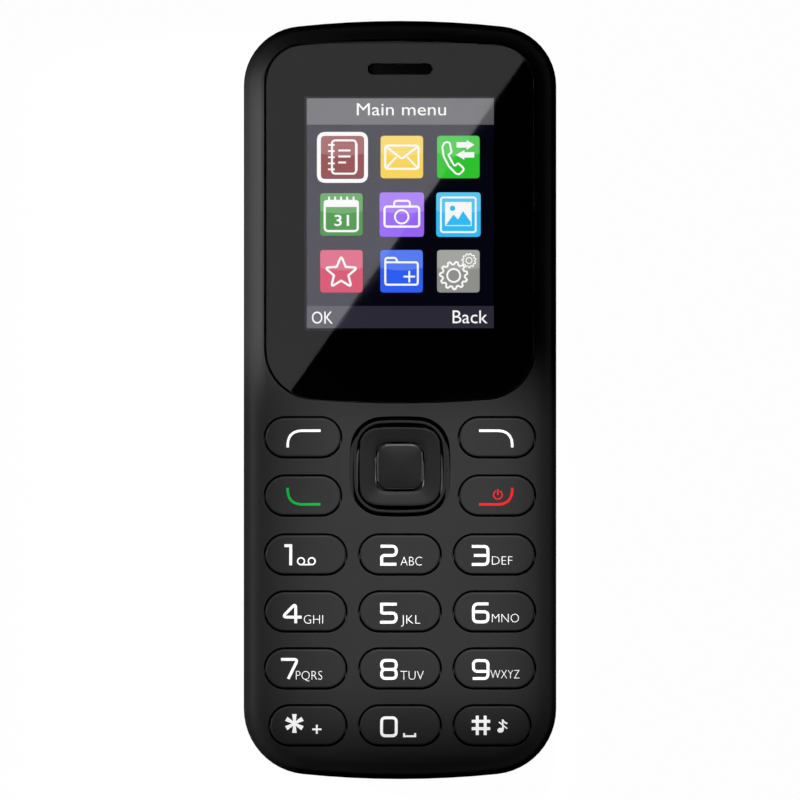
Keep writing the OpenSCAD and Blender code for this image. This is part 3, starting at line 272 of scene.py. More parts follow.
# %% Metals, rubbers and films
steel = finish("sheet_steel", "#b9bbbd", 0.22, 0.38, fineness=2500, depth=0.004, metallic=1.0, drawn=True)
gold = finish("gilt_contact", "#d9b45a", 0.18, 0.3, fineness=2500, depth=0.003, metallic=1.0, drawn=True)
copper = finish("copper_track", "#c98a5b", 0.2, 0.35, fineness=2500, depth=0.003, metallic=1.0, drawn=True)
silicone = finish("dark_silicone", "#19191a", 0.5, 0.65, fineness=2000)
foam = finish("black_foam", "#1b1b1d", 0.8, 0.95, fineness=2500, depth=0.06)
rubber = finish("soft_rubber", "#161617", 0.65, 0.8, fineness=3000, depth=0.02)
resin = finish("chip_resin", "#1c1c1e", 0.4, 0.55, fineness=5000, depth=0.012)
inner_black = finish("inner_plastic", "#1e1e20", 0.45, 0.6, fineness=3500, depth=0.015)
film = finish("amber_film", "#b0702a", 0.25, 0.4, fineness=1500, depth=0.004)
wrap = finish("battery_wrap", "#8f9297", 0.3, 0.42, fineness=1800, depth=0.006)
card_white = finish("card_plastic", "#dcdcd8", 0.35, 0.5, fineness=3000, depth=0.006)
card_black = finish("memory_card_plastic", "#19191b", 0.4, 0.5, fineness=3500, depth=0.008)
print("finishes:", len(bpy.data.materials))

# %% [markdown]
# The board is green lacquer over copper, and its tracks show as thin raised lines. A brick texture at a small
# scale gives such a lattice. The window is clear acrylic, which bends light as glass does. The tiny scratches
# and wipes that every phone window has go into its roughness.

# %% Board lacquer and clear acrylic
def board_finish():
    mat = finish("green_board", "#0e4a2a", 0.25, 0.35, fineness=2500, depth=0.004)
    tree = mat.node_tree
    place = add_node(tree, "TexCoord").outputs["Object"]
    tracks = add_node(tree, "TexBrick", {"Vector": place, "Scale": 260, "Color1": ink("#0e4a2a"),
                                         "Color2": ink("#12552f"), "Mortar": ink("#3d7a3e"),
                                         "Mortar Size": 0.03})
    feed(tree, tree.nodes["Principled BSDF"].inputs["Base Color"], tracks.outputs["Color"])
    return mat

def clear_finish(name):
    mat = finish(name, "#fbfbfb", 0.0, 0.02, fineness=400, depth=0.0, wander=0.01)
    sockets = mat.node_tree.nodes["Principled BSDF"].inputs
    sockets["Transmission Weight"].default_value = 1.0
    sockets["IOR"].default_value = 1.49
    return mat

board_green = board_finish()
acrylic = clear_finish("clear_acrylic")
lens_glass = clear_finish("lens_glass")
print("clear finishes ready")

# %% [markdown]
# ## Studio
# The backdrop is plain white, but it must not pour light on the black phone. So the world shines at a
# strength of one for the camera, and low down also for what glass and gloss mirror. All other rays get next
# to nothing.

# %% White world
def ray_switch(tree):
    """One where a camera, glossy or transmission ray looks, zero for the light that falls on things."""
    path = add_node(tree, "LightPath").outputs
    direct = maths(tree, "MAXIMUM", path["Is Camera Ray"], path["Is Glossy Ray"])
    return maths(tree, "MAXIMUM", direct, path["Is Transmission Ray"])

WHITE = (1, 1, 1, 1)
FAINT = 0.003
world = bpy.data.worlds.new("studio")
world.use_nodes = True
bpy.context.scene.world = world
sky = world.node_tree
direction = add_node(sky, "TexCoord").outputs["Generated"]
height = add_node(sky, "SeparateXYZ", {"Vector": direction}).outputs["Z"]
wall = maths(sky, "MULTIPLY", ray_switch(sky), spread(sky, height, 0.12, 0.3, 1.0, 0.0))
white_wall = maths(sky, "MAXIMUM", add_node(sky, "LightPath").outputs["Is Camera Ray"], wall)
feed(sky, sky.nodes["Background"].inputs["Strength"], spread(sky, white_wall, 0.0, 1.0, FAINT, 1.0))
sky.nodes["Background"].inputs["Color"].default_value = WHITE
print("world nodes:", len(sky.nodes))

# %% [markdown]
# The floor is a large sheet a hair below the phone. It shines white in the same way, keeps a little of its
# own grey so that the phone's shadow shows, and is clear from below, so that the back can be looked at.

# %% Floor
def make_object(name, bm, material):
    """Turn a bmesh into an object with one material."""
    mesh = bpy.data.meshes.new(name)
    bm.to_mesh(mesh)
    bm.free()
    mesh.materials.append(material)
    return into_scene(name, mesh)

FLOOR_Z = -0.02 * MM
floor_mat = bpy.data.materials.new("floor_white")
floor_mat.use_nodes = True
tree = floor_mat.node_tree
shader = tree.nodes["Principled BSDF"]
shining = maths(tree, "MULTIPLY", ray_switch(tree), 0.985)
values = {"Base Color": (0.1, 0.1, 0.1, 1), "Roughness": 1.0, "Specular IOR Level": 0.0,
          "Emission Color": WHITE, "Emission Strength": shining}
for label, value in values.items():
    feed(tree, shader.inputs[label], value)
below = add_node(tree, "NewGeometry").outputs["Backfacing"]
choose = add_node(tree, "MixShader", {0: below, 1: shader.outputs["BSDF"]})
feed(tree, choose.inputs[2], add_node(tree, "BsdfTransparent").outputs["BSDF"])
feed(tree, tree.nodes["Material Output"].inputs["Surface"], choose.outputs["Shader"])

bm = bmesh.new()
bmesh.ops.create_grid(bm, x_segments=1, y_segments=1, size=2.0, matrix=Matrix.Translation((0, 0, FLOOR_Z)))
floor = make_object("floor", bm, floor_mat)
print("floor corners:", len(floor.data.vertices))

# %% [markdown]
# ## Lamps
# Studio lamps have barn doors, flaps that cut the beam to a rectangle. Here they are made with nodes in the
# lamp: the beam's direction tells where on the face it lands, and four soft edges let it through or not. A
# real flap as a mesh would have to hang in the mirrored view of the window. Each edge is given as the place
# on the face where it is dark and the place where it is bright.

# %% Spot lamps with barn doors
SPOT_EDGE = 0.1
LAMP_SIZE = 0.005

def spot_lamp(name, place, aim, radius, watts):
    """A lamp that lights a disc round its aim. Its own up side is kept along the phone's length."""
    data = bpy.data.lights.new(name, "SPOT")
    data.energy = watts
    data.spot_size = 2 * math.atan(radius / (Vector(aim) - Vector(place)).length)
    data.spot_blend = SPOT_EDGE
    data.shadow_soft_size = LAMP_SIZE
    lamp = into_scene(name, data)
    back = (Vector(place) - Vector(aim)).normalized()
    side = Vector((0, 1, 0)).cross(back).normalized()
    turned = Matrix((side, back.cross(side), back)).transposed()
    lamp.matrix_world = Matrix.Translation(place) @ turned.to_4x4()
    return lamp

def slope_to(lamp, axis, x, y):
    """How far aside the lamp sees a place on the face, given in mm, as a share of the distance ahead."""
    seen_at = lamp.matrix_world.inverted() @ Vector((x * MM, y * MM, FACE_Z))
    return seen_at["XY".index(axis)] / -seen_at.z

def barn_doors(lamp, left, right, low, high):
    """Shade the lamp to a rectangle with soft edges; each edge is (dark, bright) in mm on the face."""
    lamp.data.use_nodes = True
    tree = lamp.data.node_tree
    beam = add_node(tree, "SeparateXYZ", {"Vector": add_node(tree, "TexCoord").outputs["Normal"]}).outputs
    ahead = maths(tree, "ABSOLUTE", beam["Z"])
    centre_y = (low[1] + high[1]) / 2
    light = 1.0
    for axis, edge in (("X", left), ("X", right), ("Y", low), ("Y", high)):
        places = [(place, centre_y) if axis == "X" else (0, place) for place in edge]
        dark, bright = (slope_to(lamp, axis, x, y) for x, y in places)
        aside = maths(tree, "DIVIDE", beam[axis], ahead)
        door = spread(tree, aside, dark, bright, interpolation_type="SMOOTHSTEP")
        light = maths(tree, "MULTIPLY", light, door)
    feed(tree, tree.nodes["Emission"].inputs["Strength"], light)

print("lamp helpers ready")

# %% [markdown]
# The first lamp hangs behind the phone's top and lights the keys, so that the face falls off at the left
# and at the lower end. The second hangs at the upper left and lights the left edge beside the window. The
# third hangs low at the left for the left side. All stay outside the cone that the window mirrors, so the
# window is black.

# %% Three spot lamps
face_lamp = spot_lamp("face_lamp", (0.03, 0.4, 0.62), (0.0, -0.023, FACE_Z), radius=0.06, watts=38.0)
barn_doors(face_lamp, left=(-30, -8), right=(27, 15), low=(-58, -40), high=(6, -3))
upper_lamp = spot_lamp("upper_lamp", (-0.3, 0.05, 0.5), (-0.024, 0.03, FACE_Z), radius=0.06, watts=21.0)
barn_doors(upper_lamp, left=(-60, -40), right=(10, -14), low=(-3, 8), high=(54.5, 45))
side_lamp = spot_lamp("side_lamp", (-0.5, 0.06, 0.11), (-0.02, 0.0, 0.01), radius=0.1, watts=9.5)
barn_doors(side_lamp, left=(-120, -100), right=(-12, -24), low=(-90, -75), high=(56, 46))
print("spot lamps:", [o.name for o in (face_lamp, upper_lamp, side_lamp)])

# %% [markdown]
# The other three sides of the phone would be pitch black in a view from the side. A faint strip lamp stands
# close to the floor before each of them, with so narrow a beam that it doesn't reach the face.

# %% Strip lamps round the phone
STRIPS = {"right_strip": (0.16, 0.0, 0.12), "lower_strip": (0.0, -0.19, 0.05),
          "upper_strip": (0.0, 0.19, 0.05)}
STRIP_Z = 3.5 * MM
STRIP_TALL = 5 * MM
WATTS_PER_METRE = 0.03
for name, (x, y, length) in STRIPS.items():
    data = bpy.data.lights.new(name, "AREA")
    data.shape = "RECTANGLE"
    data.size = length
    data.size_y = STRIP_TALL
    data.spread = math.radians(4)
    data.energy = WATTS_PER_METRE * length
    strip = into_scene(name, data)
    turn = Vector((-x, -y, 0)).to_track_quat("-Z", "Y").to_matrix().to_4x4()
    strip.matrix_world = Matrix.Translation((x, y, STRIP_Z)) @ turn
    strip.visible_camera = False
print("strip lamps:", list(STRIPS))

# %% [markdown]
# The window mirrors a card that glows softly. The card hangs above the upper left of the phone, and its
# slanted lower edge draws the diagonal across the window. A mirrored card is how a studio gives glass its
# shape.

# %% Slanted card
CARD_HEIGHT = 0.45
CARD_CORNERS = [(262, 432), (556, 14), (120, 14), (120, 432)]
card_mat = bpy.data.materials.new("card_glow")
card_mat.use_nodes = True
for label, value in (("Base Color", (0, 0, 0, 1)), ("Emission Color", WHITE), ("Emission Strength", 0.39)):
    card_mat.node_tree.nodes["Principled BSDF"].inputs[label].default_value = value

mirrored = 1 + CARD_HEIGHT / DISTANCE
bm = bmesh.new()
corners = [Vector(px(x, y)) * mirrored for x, y in CARD_CORNERS]
card_corners = [bm.verts.new((corner.x, corner.y, FACE_Z + CARD_HEIGHT)) for corner in corners]
bmesh.ops.contextual_create(bm, geom=card_corners)
card = make_object("slanted_card", bm, card_mat)
card.visible_camera = False
card.visible_shadow = False
print("card corners:", len(card.data.vertices))

# %% [markdown]
# ## Moulded shells and keys
# The shells, keys and trims have the right shape in the CAD model, but their mesh is loose triangles with
# knife-sharp edges. A real moulding has edges rounded by a tenth of a millimetre, and these catch the light
# as thin lines. Each visible moulding is therefore a copy of its CAD mesh: its doubles are merged, flat
# areas are joined, sharp edges are bevelled and the rest is shaded smooth. The copy replaces its node. Round
# the openings only edges near the face are bevelled, since the others are out of sight.

# %% A smooth copy of a CAD mesh
def smooth_copy(name, node, material, body, edge=0.1, segments=2, top_only=None):
    bm = bmesh.new()
    bm.from_mesh(nodes[node].data)
    bmesh.ops.remove_doubles(bm, verts=bm.verts, dist=1e-6)
    bmesh.ops.dissolve_limit(bm, angle_limit=math.radians(1), verts=bm.verts, edges=bm.edges)
    if edge:
        sharp = [e for e in bm.edges if len(e.link_faces) == 2 and e.calc_face_angle(0) > math.radians(35)]
        if top_only is not None:
            sharp = [e for e in sharp if min(v.co.z for v in e.verts) > top_only]
        bmesh.ops.bevel(bm, geom=sharp, offset=edge * MM, offset_type="OFFSET", affect="EDGES",
                        segments=segments, profile=0.5, clamp_overlap=False, material=-1)
    piece = make_object(name, bm, material)
    piece.data.shade_smooth()
    piece.data.set_sharp_from_angle(angle=math.radians(40))
    weighted = piece.modifiers.new("weighted", "WEIGHTED_NORMAL")
    weighted.keep_sharp = True
    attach(piece, body)
    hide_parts(node)
    return piece

NEAR_FACE = FACE_Z - 1 * MM
shell_front = smooth_copy("shell_front", "front_housing", satin_black, "phone_body", top_only=NEAR_FACE)
shell_back = smooth_copy("shell_back", "rear_housing", satin_black, "phone_body", edge=0)
cover = smooth_copy("cover", "battery_cover", satin_black, "battery_cover", edge=0)
print("shell faces:", [len(o.data.polygons) for o in (shell_front, shell_back, cover)])

# %% [markdown]
# Every key rides on a body of its own, so that it can be pressed. The trim frame round the pad gets the
# black of the print on its steep faces as painted shade, standing in for the dark of the narrow gap beside
# them.

# %% Key caps and trim frame
KEYS = ["left", "right", "call", "end", "1", "2", "3", "4", "5", "6", "7", "8", "9", "star", "0", "hash"]
for key in KEYS:
    smooth_copy("cap_" + key, "key_" + key, key_black, "key_" + key, edge=0.08, top_only=NEAR_FACE)
rim = smooth_copy("pad_rim", "nav_frame", rim_black, "phone_body", edge=0.15, top_only=NEAR_FACE)
rim.data.materials.append(print_black_and_painted_shade)
# steep faces get the print black as painted shade
for face in rim.data.polygons:
    face.material_index = int(abs(face.normal.z) < 0.3)
print("key caps:", len(KEYS))

# %% [markdown]
# ## Ring key
# The ring key is a rounded square whose four sides slope down to the centre key, and the slopes melt into
# each other at the corners. A circle that is pushed out into a soft square gives each loop, and extruding
# the loop inwards and down, row by row, gives the skin. A square with mitred slopes would show hard creases
# instead.

# %% Soft square loops, extruded row by row
def soft_square(angle, half_w, half_h, power):
    c, s = math.cos(angle), math.sin(angle)
    reach = (abs(c) ** power + abs(s) ** power) ** (-1 / power)
    return half_w * reach * c, half_h * reach * s

def soft_square_skin(name, centre, rows, material, closed, segments=96):
    """Each row is a loop: half width, half height, height above the back and squareness."""
    bm = bmesh.new()
    first = bmesh.ops.create_circle(bm, cap_ends=False, segments=segments, radius=1.0)
    loop = first["verts"]
    angles = [math.atan2(v.co.y, v.co.x) for v in loop]
    edges = list({e for v in loop for e in v.link_edges})
    for number, (half_w, half_h, z, power) in enumerate(rows):
        if number:
            grown = bmesh.ops.extrude_edge_only(bm, edges=edges)["geom"]
            edges = [g for g in grown if isinstance(g, bmesh.types.BMEdge)]
            fresh = {g for g in grown if isinstance(g, bmesh.types.BMVert)}
            loop = [next(e.other_vert(v) for e in v.link_edges if e.other_vert(v) in fresh) for v in loop]
        for v, angle in zip(loop, angles):
            x, y = soft_square(angle, half_w, half_h, power)
            v.co = (centre.x + x, centre.y + y, z)
    if closed == "cap":
        bmesh.ops.contextual_create(bm, geom=edges)
    elif closed == "tube":
        ends = [e for e in bm.edges if e.is_boundary]
        bmesh.ops.bridge_loops(bm, edges=ends)
    bmesh.ops.recalc_face_normals(bm, faces=bm.faces)
    piece = make_object(name, bm, material)
    piece.data.shade_smooth()
    piece.data.set_sharp_from_angle(angle=math.radians(50))
    return piece

print("loop helper ready")

# %% [markdown]
# The ring's profile starts at the foot of its outer wall, rounds the outer edge, slopes down to the centre
# key and goes back to the foot. The outer wall gets the black of the print as painted shade, standing in for
# the dark gap beside it.

# %% Ring key
pad = middle("nav_ring")
low, high = low_high("nav_ring")
top = high.z
foot = low.z + 0.25 * MM
half = 6.25 * MM
tall = 6.05 * MM
inner = 3.75 * MM
# inset across, inset along and drop below the top in mm, then squareness
RING_PROFILE = [(0, 0, 0.22, 4.2), (0.03, 0.03, 0.1, 4.2), (0.12, 0.12, 0.02, 4.2), (0.25, 0.25, 0, 4.3),
                (0.5, 0.5, 0.03, 4.6), (1.2, 1.1, 0.13, 5.2), (1.9, 1.7, 0.24, 5.6)]
# how far outside the hole, and drop below the top
HOLE_PROFILE = [(0.08, 0.34), (0, 0.4)]
HOLE_POWER = 5.5
ring_rows = [(half, tall, foot, 4.2)]
for across, along, drop, power in RING_PROFILE:
    ring_rows.append((half - across * MM, tall - along * MM, top - drop * MM, power))
for grown, drop in HOLE_PROFILE:
    ring_rows.append((inner + grown * MM, inner + grown * MM, top - drop * MM, HOLE_POWER))
ring_rows.append((inner, inner, foot, HOLE_POWER))
ring = soft_square_skin("pad_ring", pad, ring_rows, ring_black, "tube")
ring.data.materials.append(print_black_and_painted_shade)
# the outer wall below the top gets the print black as painted shade
for face in ring.data.polygons:
    reach = face.center - pad
    outside = max(abs(reach.x) - half, abs(reach.y) - tall) > -0.2 * MM
    face.material_index = int(outside and face.center.z < top - 0.02 * MM)
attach(ring, "nav_ring")
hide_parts("nav_ring")
print("ring top in mm:", round(top / MM, 2))

# %% [markdown]
# The centre key is a soft square whose thin bevel round its edge has a lighter colour as a painted highlight,
# and its top is softly domed. The dome is a formula of how far a loop lies from the middle.

# %% Centre key
low, high = low_high("nav_centre")
half = (high.x - low.x) / 2
crown = high.z
# the band below the top, in mm, that carries the painted highlight
PAINTED_HIGHLIGHT_BAND = (0.37 * MM, 0.56 * MM)
# inset and drop below the top in mm, then squareness
CENTRE_PROFILE = [(0, 0.62, 5.2), (0.07, 0.5, 5.2), (0.19, 0.36, 5.0)]
DOME_SHARES = (0.93, 0.88, 0.8, 0.7, 0.58, 0.44, 0.3, 0.15, 0.03)
DOME_DROP = 0.2 * MM
centre_rows = [(half, half, low.z + 0.7 * MM, 5.2)]
for inset, drop, power in CENTRE_PROFILE:
    centre_rows.append((half - inset * MM, half - inset * MM, crown - drop * MM, power))
for share in DOME_SHARES:
    centre_rows.append((half * share, half * share, crown - DOME_DROP * (1 + 0.8 * share ** 2), 3.5 + share))
centre_key = soft_square_skin("pad_centre", middle("nav_centre"), centre_rows, centre_black, "cap")
centre_key.data.materials.append(centre_highlight_paint)
# faces in the bevel band get the lighter colour, a painted highlight
for face in centre_key.data.polygons:
    reach = face.center - middle("nav_centre")
    outside = max(abs(reach.x), abs(reach.y)) > half - 0.2 * MM
    face.material_index = int(outside and PAINTED_HIGHLIGHT_BAND[0] < crown - face.center.z < PAINTED_HIGHLIGHT_BAND[1])
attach(centre_key, "nav_centre")
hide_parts("nav_centre")
print("centre key in mm:", round(low.z / MM, 2), round(high.z / MM, 2))

# %% [markdown]
# ## Window and its print
# The window is a clear sheet with a black print on its back. The print leaves the screen's area free and the
# earpiece slot is cut through both. The clear sheet keeps its CAD shape with polished edges. The print is a
# copy of its own node, set a hair lower than the sheet so that the two faces don't touch.

# %% Window and print
window_top = low_high("display_window")[1].z
smooth_copy("window", "display_window", acrylic, "phone_body", edge=0.12, top_only=window_top - 0.2 * MM)
print_top = low_high("window_mask")[1].z - 0.01 * MM
window_print = smooth_copy("window_print", "window_mask", print_black_and_painted_shade, "phone_body", edge=0)
for v in window_print.data.vertices:
    v.co.z = min(v.co.z, print_top)
print("window top in mm:", round(window_top / MM, 2))

# %% [markdown]
# ## Flat prints
# Legends and screen pictures are flat. A stroke starts as one edge as wide as the line and is extruded from
# point to point of its path, with the width stretched a little at the corners, as a pen does. A filled shape
# is one face inside its outline. Both are drawn in pixels of the picture. Real prints are a few hundredths of
# a millimetre thick, so each lies that far above what carries it.

# %% Paths with rounded corners
def rounded_path(points, radius, closed=False, steps=6):
    """Each corner is replaced by a short curve. radius is one number, or one for each point."""
    count = len(points)
    radii = radius if isinstance(radius, (list, tuple)) else [radius] * count
    path = []
    for i, (point, r) in enumerate(zip(points, radii)):
        here = Vector(point)
        if not r or (not closed and i in (0, count - 1)):
            path.append(tuple(here))
            continue
        back = Vector(points[i - 1]) - here
        ahead = Vector(points[(i + 1) % count]) - here
        turn = math.pi - back.angle(ahead)
        share = [1 if not closed and near_end else 0.5 for near_end in (i == 1, i == count - 2)]
        cut = min(r * math.tan(turn / 2), back.length * share[0], ahead.length * share[1])
        start = here + back.normalized() * cut
        end = here + ahead.normalized() * cut
        for step in range(steps + 1):
            t = step / steps
            path.append(tuple(start.lerp(here, t).lerp(here.lerp(end, t), t)))
    return [p for i, p in enumerate(path) if i == 0 or p != path[i - 1]]

def box_path(x0, y0, x1, y1, r=0.0):
    return rounded_path([(x0, y0), (x1, y0), (x1, y1), (x0, y1)], r, closed=True)

def ring_path(x, y, r, start=0.0, sweep=360.0, steps=28):
    turns = [math.radians(start + sweep * i / steps) for i in range(steps + (sweep < 360))]
    return [(x + r * math.cos(t), y - r * math.sin(t)) for t in turns]

print("corner points:", len(rounded_path([(0, 0), (10, 0), (10, 10)], 3)))

# %% Strokes, filled shapes and letters
class Sheet:
    """A flat drawing that grows stroke by stroke; every face keeps the colour it was drawn in."""

    def __init__(self, z):
        self.bm = bmesh.new()
        self.tint = self.bm.loops.layers.float_color.new("tint")
        self.z = z
        self.shapes = 0

    def next_height(self, lift):
        """Each shape lies two thousandths of a millimetre above the one before, so that none coincide."""
        self.shapes += 1
        return self.z + (lift + 0.002 * (self.shapes % 10)) * MM

    def paint(self, faces, code="#ffffff"):
        for face in faces:
            for corner in face.loops:
                corner[self.tint] = ink(code)

    def stroke(self, path, width, lift=0.0, closed=False):
        z = self.next_height(lift)
        rise = 0 if closed else 0.001 * MM
        points = [Vector(px(x, y, z)) for x, y in path]
        half = width * PIXEL / 2
        count = len(points)
        sides = []
        for i, here in enumerate(points):
            back = points[i - 1] if closed or i else None
            ahead = points[(i + 1) % count] if closed or i + 1 < count else None
            into = (here - (back or here)).normalized() if back else (ahead - here).normalized()
            out = (ahead - here).normalized() if ahead else into
            across = Vector((-into.y - out.y, into.x + out.x)).normalized()
            wide = half / max(0.6, across.dot(Vector((-into.y, into.x))))
            sides.append((here + across * wide, here - across * wide))
        pair = [self.bm.verts.new((p.x, p.y, z)) for p in sides[0]]
        first = pair
        edge = self.bm.edges.new(pair)
        faces = []
        for place in sides[1:]:
            grown = bmesh.ops.extrude_edge_only(self.bm, edges=[edge])["geom"]
            fresh = {g for g in grown if isinstance(g, bmesh.types.BMVert)}
            faces += [g for g in grown if isinstance(g, bmesh.types.BMFace)]
            pair = [next(e.other_vert(v) for e in v.link_edges if e.other_vert(v) in fresh) for v in pair]
            edge = self.bm.edges.get(pair)
            z += rise
            for v, p in zip(pair, place):
                v.co = (p.x, p.y, z)
        if closed:
            faces += bmesh.ops.contextual_create(self.bm, geom=pair + first)["faces"]
        self.paint(faces)

    def fill(self, path, code="#ffffff", lift=0.0):
        z = self.next_height(lift)
        corners = [self.bm.verts.new((*px(x, y, z), z)) for x, y in path]
        rim = [self.bm.edges.new((corners[i - 1], corner)) for i, corner in enumerate(corners)]
        self.paint(bmesh.ops.edgeloop_fill(self.bm, edges=rim)["faces"], code)

    def letters(self, text, x0, y0, x1, y1, lift=0.0, weight=0.0):
        """A word in the built-in face, fitted between its left, top, right and base lines."""
        z = self.next_height(lift)
        curve = bpy.data.curves.new("word", "FONT")
        curve.body = text
        curve.offset = weight
        curve.resolution_u = 3
        word = bpy.data.objects.new("word", curve)
        mesh = bpy.data.meshes.new_from_object(word)
        bpy.data.objects.remove(word)
        old = set(self.bm.verts)
        known = set(self.bm.faces)
        self.bm.from_mesh(mesh)
        fresh = [v for v in self.bm.verts if v not in old]
        left, right = min(v.co.x for v in fresh), max(v.co.x for v in fresh)
        top = max(v.co.y for v in fresh)
        for v in fresh:
            x, y = px(x0 + (v.co.x - left) / (right - left) * (x1 - x0), y1 + v.co.y / top * (y0 - y1), z)
            v.co = (x, y, z)
        self.paint([f for f in self.bm.faces if f not in known])
        bpy.data.meshes.remove(mesh)
        bpy.data.curves.remove(curve)

    def place(self, name, material, body):
        """Turn every face upwards and make the drawing a piece that rides on a body."""
        self.bm.normal_update()
        bmesh.ops.reverse_faces(self.bm, faces=[f for f in self.bm.faces if f.normal.z < 0])
        piece = make_object(name, self.bm, material)
        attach(piece, body)
        return piece

OPEN, CLOSED = False, True

def draw(sheet, lines, lift=0.0):
    """Draw a list of lines: path, width and whether it is closed. A path without a width is filled."""
    for path, width, closed in lines:
        if width:
            sheet.stroke(path, width, lift=lift, closed=closed)
        else:
            sheet.fill(path, lift=lift)

print("sheets ready")

# %% [markdown]
# ## Number legends
# The digits are drawn as squared strokes with rounded corners, because the built-in lettering has no such
# face. Every path is given inside a box that is 18 pixels wide and 21 high, with the rounding of its
# corners.

# %% Digit paths
LEFT, RIGHT, TOP, BASE = 1.7, 16.3, 1.7, 19.7
DIGITS = {
    "1": [([(4.4, TOP), (10.7, TOP), (10.7, 21.3)], 0, OPEN)],
    "2": [([(0.6, TOP), (RIGHT, TOP), (RIGHT, 10.9), (LEFT, 10.9), (LEFT, BASE), (16.4, BASE)],
           [0, 5, 4.5, 3, 0, 0], OPEN)],
    "3": [([(0.2, TOP), (RIGHT, TOP), (RIGHT, BASE), (0.2, BASE)], [0, 4.5, 4.5, 0], OPEN),
          ([(2.2, 10.7), (RIGHT, 10.7)], 0, OPEN)],
    "4": [([(21.2, 15.1), (1.8, 15.1), (15.2, 1.3), (15.2, 21.2)], [0, 2, 2, 0], OPEN)],
    "5": [([(16.8, TOP), (LEFT, TOP), (LEFT, 10.6), (RIGHT, 10.6), (RIGHT, BASE), (0.2, BASE)],
           [0, 0, 1.5, 4.5, 4.5, 0], OPEN)],
    "6": [([(16.8, TOP), (LEFT, TOP), (LEFT, BASE), (RIGHT, BASE), (RIGHT, 9.6), (LEFT, 9.6)],
           [0, 5, 4.5, 4.5, 4, 0], OPEN)],
    "7": [([(0.2, TOP), (17, TOP), (7.4, 21.2)], [0, 2.5, 0], OPEN)],
    "8": [([(LEFT, TOP), (RIGHT, TOP), (RIGHT, 10.7), (LEFT, 10.7)], 4.2, CLOSED),
          ([(LEFT, 10.7), (RIGHT, 10.7), (RIGHT, BASE), (LEFT, BASE)], 4.2, CLOSED)],
    "9": [([(RIGHT, 12.6), (LEFT, 12.6), (LEFT, TOP), (RIGHT, TOP), (RIGHT, BASE), (1, BASE)],
           [0, 4.5, 4.5, 4.5, 4.5, 0], OPEN)],
    "0": [([(LEFT, TOP), (RIGHT, TOP), (RIGHT, BASE), (LEFT, BASE)], 4, CLOSED)],
}
print("digits:", len(DIGITS))

# %% [markdown]
# Each digit stands at its place on its key. The small letters beside it are plain sans lettering, fitted
# between a left, an upper, a right and a base line. The 1 and the 0 carry a small sign instead.

# %% Legends of the number keys
DIGIT_PLACES = {"1": (280, 544), "2": (380, 544.5), "3": (471.7, 544.7), "4": (280.5, 602),
                "5": (379.9, 602.5), "6": (471.7, 602.2), "7": (280.8, 657.7), "8": (379.9, 658.7),
                "9": (471.7, 658.8), "0": (379.9, 716.1)}
WORDS = {"2": ("ABC", 400.6, 556.8, 422, 565.6), "3": ("DEF", 492, 556.4, 512.4, 564.8),
         "4": ("GHI", 303.8, 615, 323, 623.8), "5": ("JKL", 401.1, 615.2, 420.4, 623.8),
         "6": ("MNO", 492, 613.9, 519, 622.4), "7": ("PQRS", 295.9, 671, 322.3, 679.8),
         "8": ("TUV", 400.5, 671, 423.7, 679.8), "9": ("WXYZ", 490.5, 670.1, 519.5, 678.6)}
MAILBOX = [(ring_path(x, 561.2, 3.4), 1.4, CLOSED) for x in (301, 311.7)]
MAILBOX.append(([(301, 564.6), (311.7, 564.6)], 1.4, OPEN))
SPACE_BAR = [([(404, 733.2), (404, 736.2), (415.2, 736.2), (415.2, 733.2)], 1.9, OPEN)]
SMALL_SIGNS = {"1": MAILBOX, "0": SPACE_BAR}
DIGIT_LINE = 2.85
HAIR = 0.02 * MM
key_top = low_high("key_5")[1].z + HAIR
for key, lines in DIGITS.items():
    sheet = Sheet(key_top)
    left, top = DIGIT_PLACES[key]
    for points, radius, closed in lines:
        path = rounded_path([(left + x, top + y) for x, y in points], radius, closed)
        sheet.stroke(path, DIGIT_LINE, closed=closed)
    if key in WORDS:
        sheet.letters(*WORDS[key], weight=-0.02)
    draw(sheet, SMALL_SIGNS.get(key, []))
    sheet.place("legend_" + key, white_ink_painted_glow, "key_" + key)
print("digit legends:", len(DIGITS))

# %% [markdown]
# The star has six arms that widen outwards, each a filled shape that is turned round the middle. A plus sign
# stands beside the star and a small note beside the hash.

# %% Star and hash
STAR_CENTRE = Vector((294.4, 723.5))
ARM_LENGTH = 9.4
ARM_HALF = 2.3
PLUS = [([(312.2, 729.3), (321.4, 729.3)], 1.8, OPEN), ([(316.8, 724.7), (316.8, 733.9)], 1.8, OPEN)]
sheet = Sheet(key_top)
for arm in range(6):
    turn = math.radians(60 * arm + 90)
    away = Vector((math.cos(turn), -math.sin(turn)))
    side = Vector((-away.y, away.x))
    tip = STAR_CENTRE + away * ARM_LENGTH
    corners = [tip + side * ARM_HALF, tip - side * ARM_HALF, STAR_CENTRE - side, STAR_CENTRE + side]
    sheet.fill([tuple(corner) for corner in corners])
draw(sheet, PLUS)
sheet.place("legend_star", white_ink_painted_glow, "key_star")

HASH = [([(x, 715.7), (x, 735.1)], 3, OPEN) for x in (477.3, 485.2)]
HASH += [([(471.7, y), (490.2, y)], 3, OPEN) for y in (721.3, 728.6)]
turns = [2 * math.pi * i / 20 for i in range(20)]
NOTE_HEAD = [(500.6 + 3.1 * math.cos(t) + 0.9 * math.sin(t), 730.2 + 2.3 * math.sin(t) - 0.9 * math.cos(t))
             for t in turns]
NOTE = [(NOTE_HEAD, None, CLOSED), ([(503.1, 729.4), (502.5, 719.4)], 1.5, OPEN),
        (rounded_path([(502.5, 719.8), (504.5, 722.4), (507.3, 723.6)], 3), 1.5, OPEN),
        ([(498.9, 722), (507.2, 728.6)], 1.3, OPEN)]
sheet = Sheet(key_top)
draw(sheet, HASH + NOTE)
sheet.place("legend_hash", white_ink_painted_glow, "key_hash")
print("star and hash drawn")

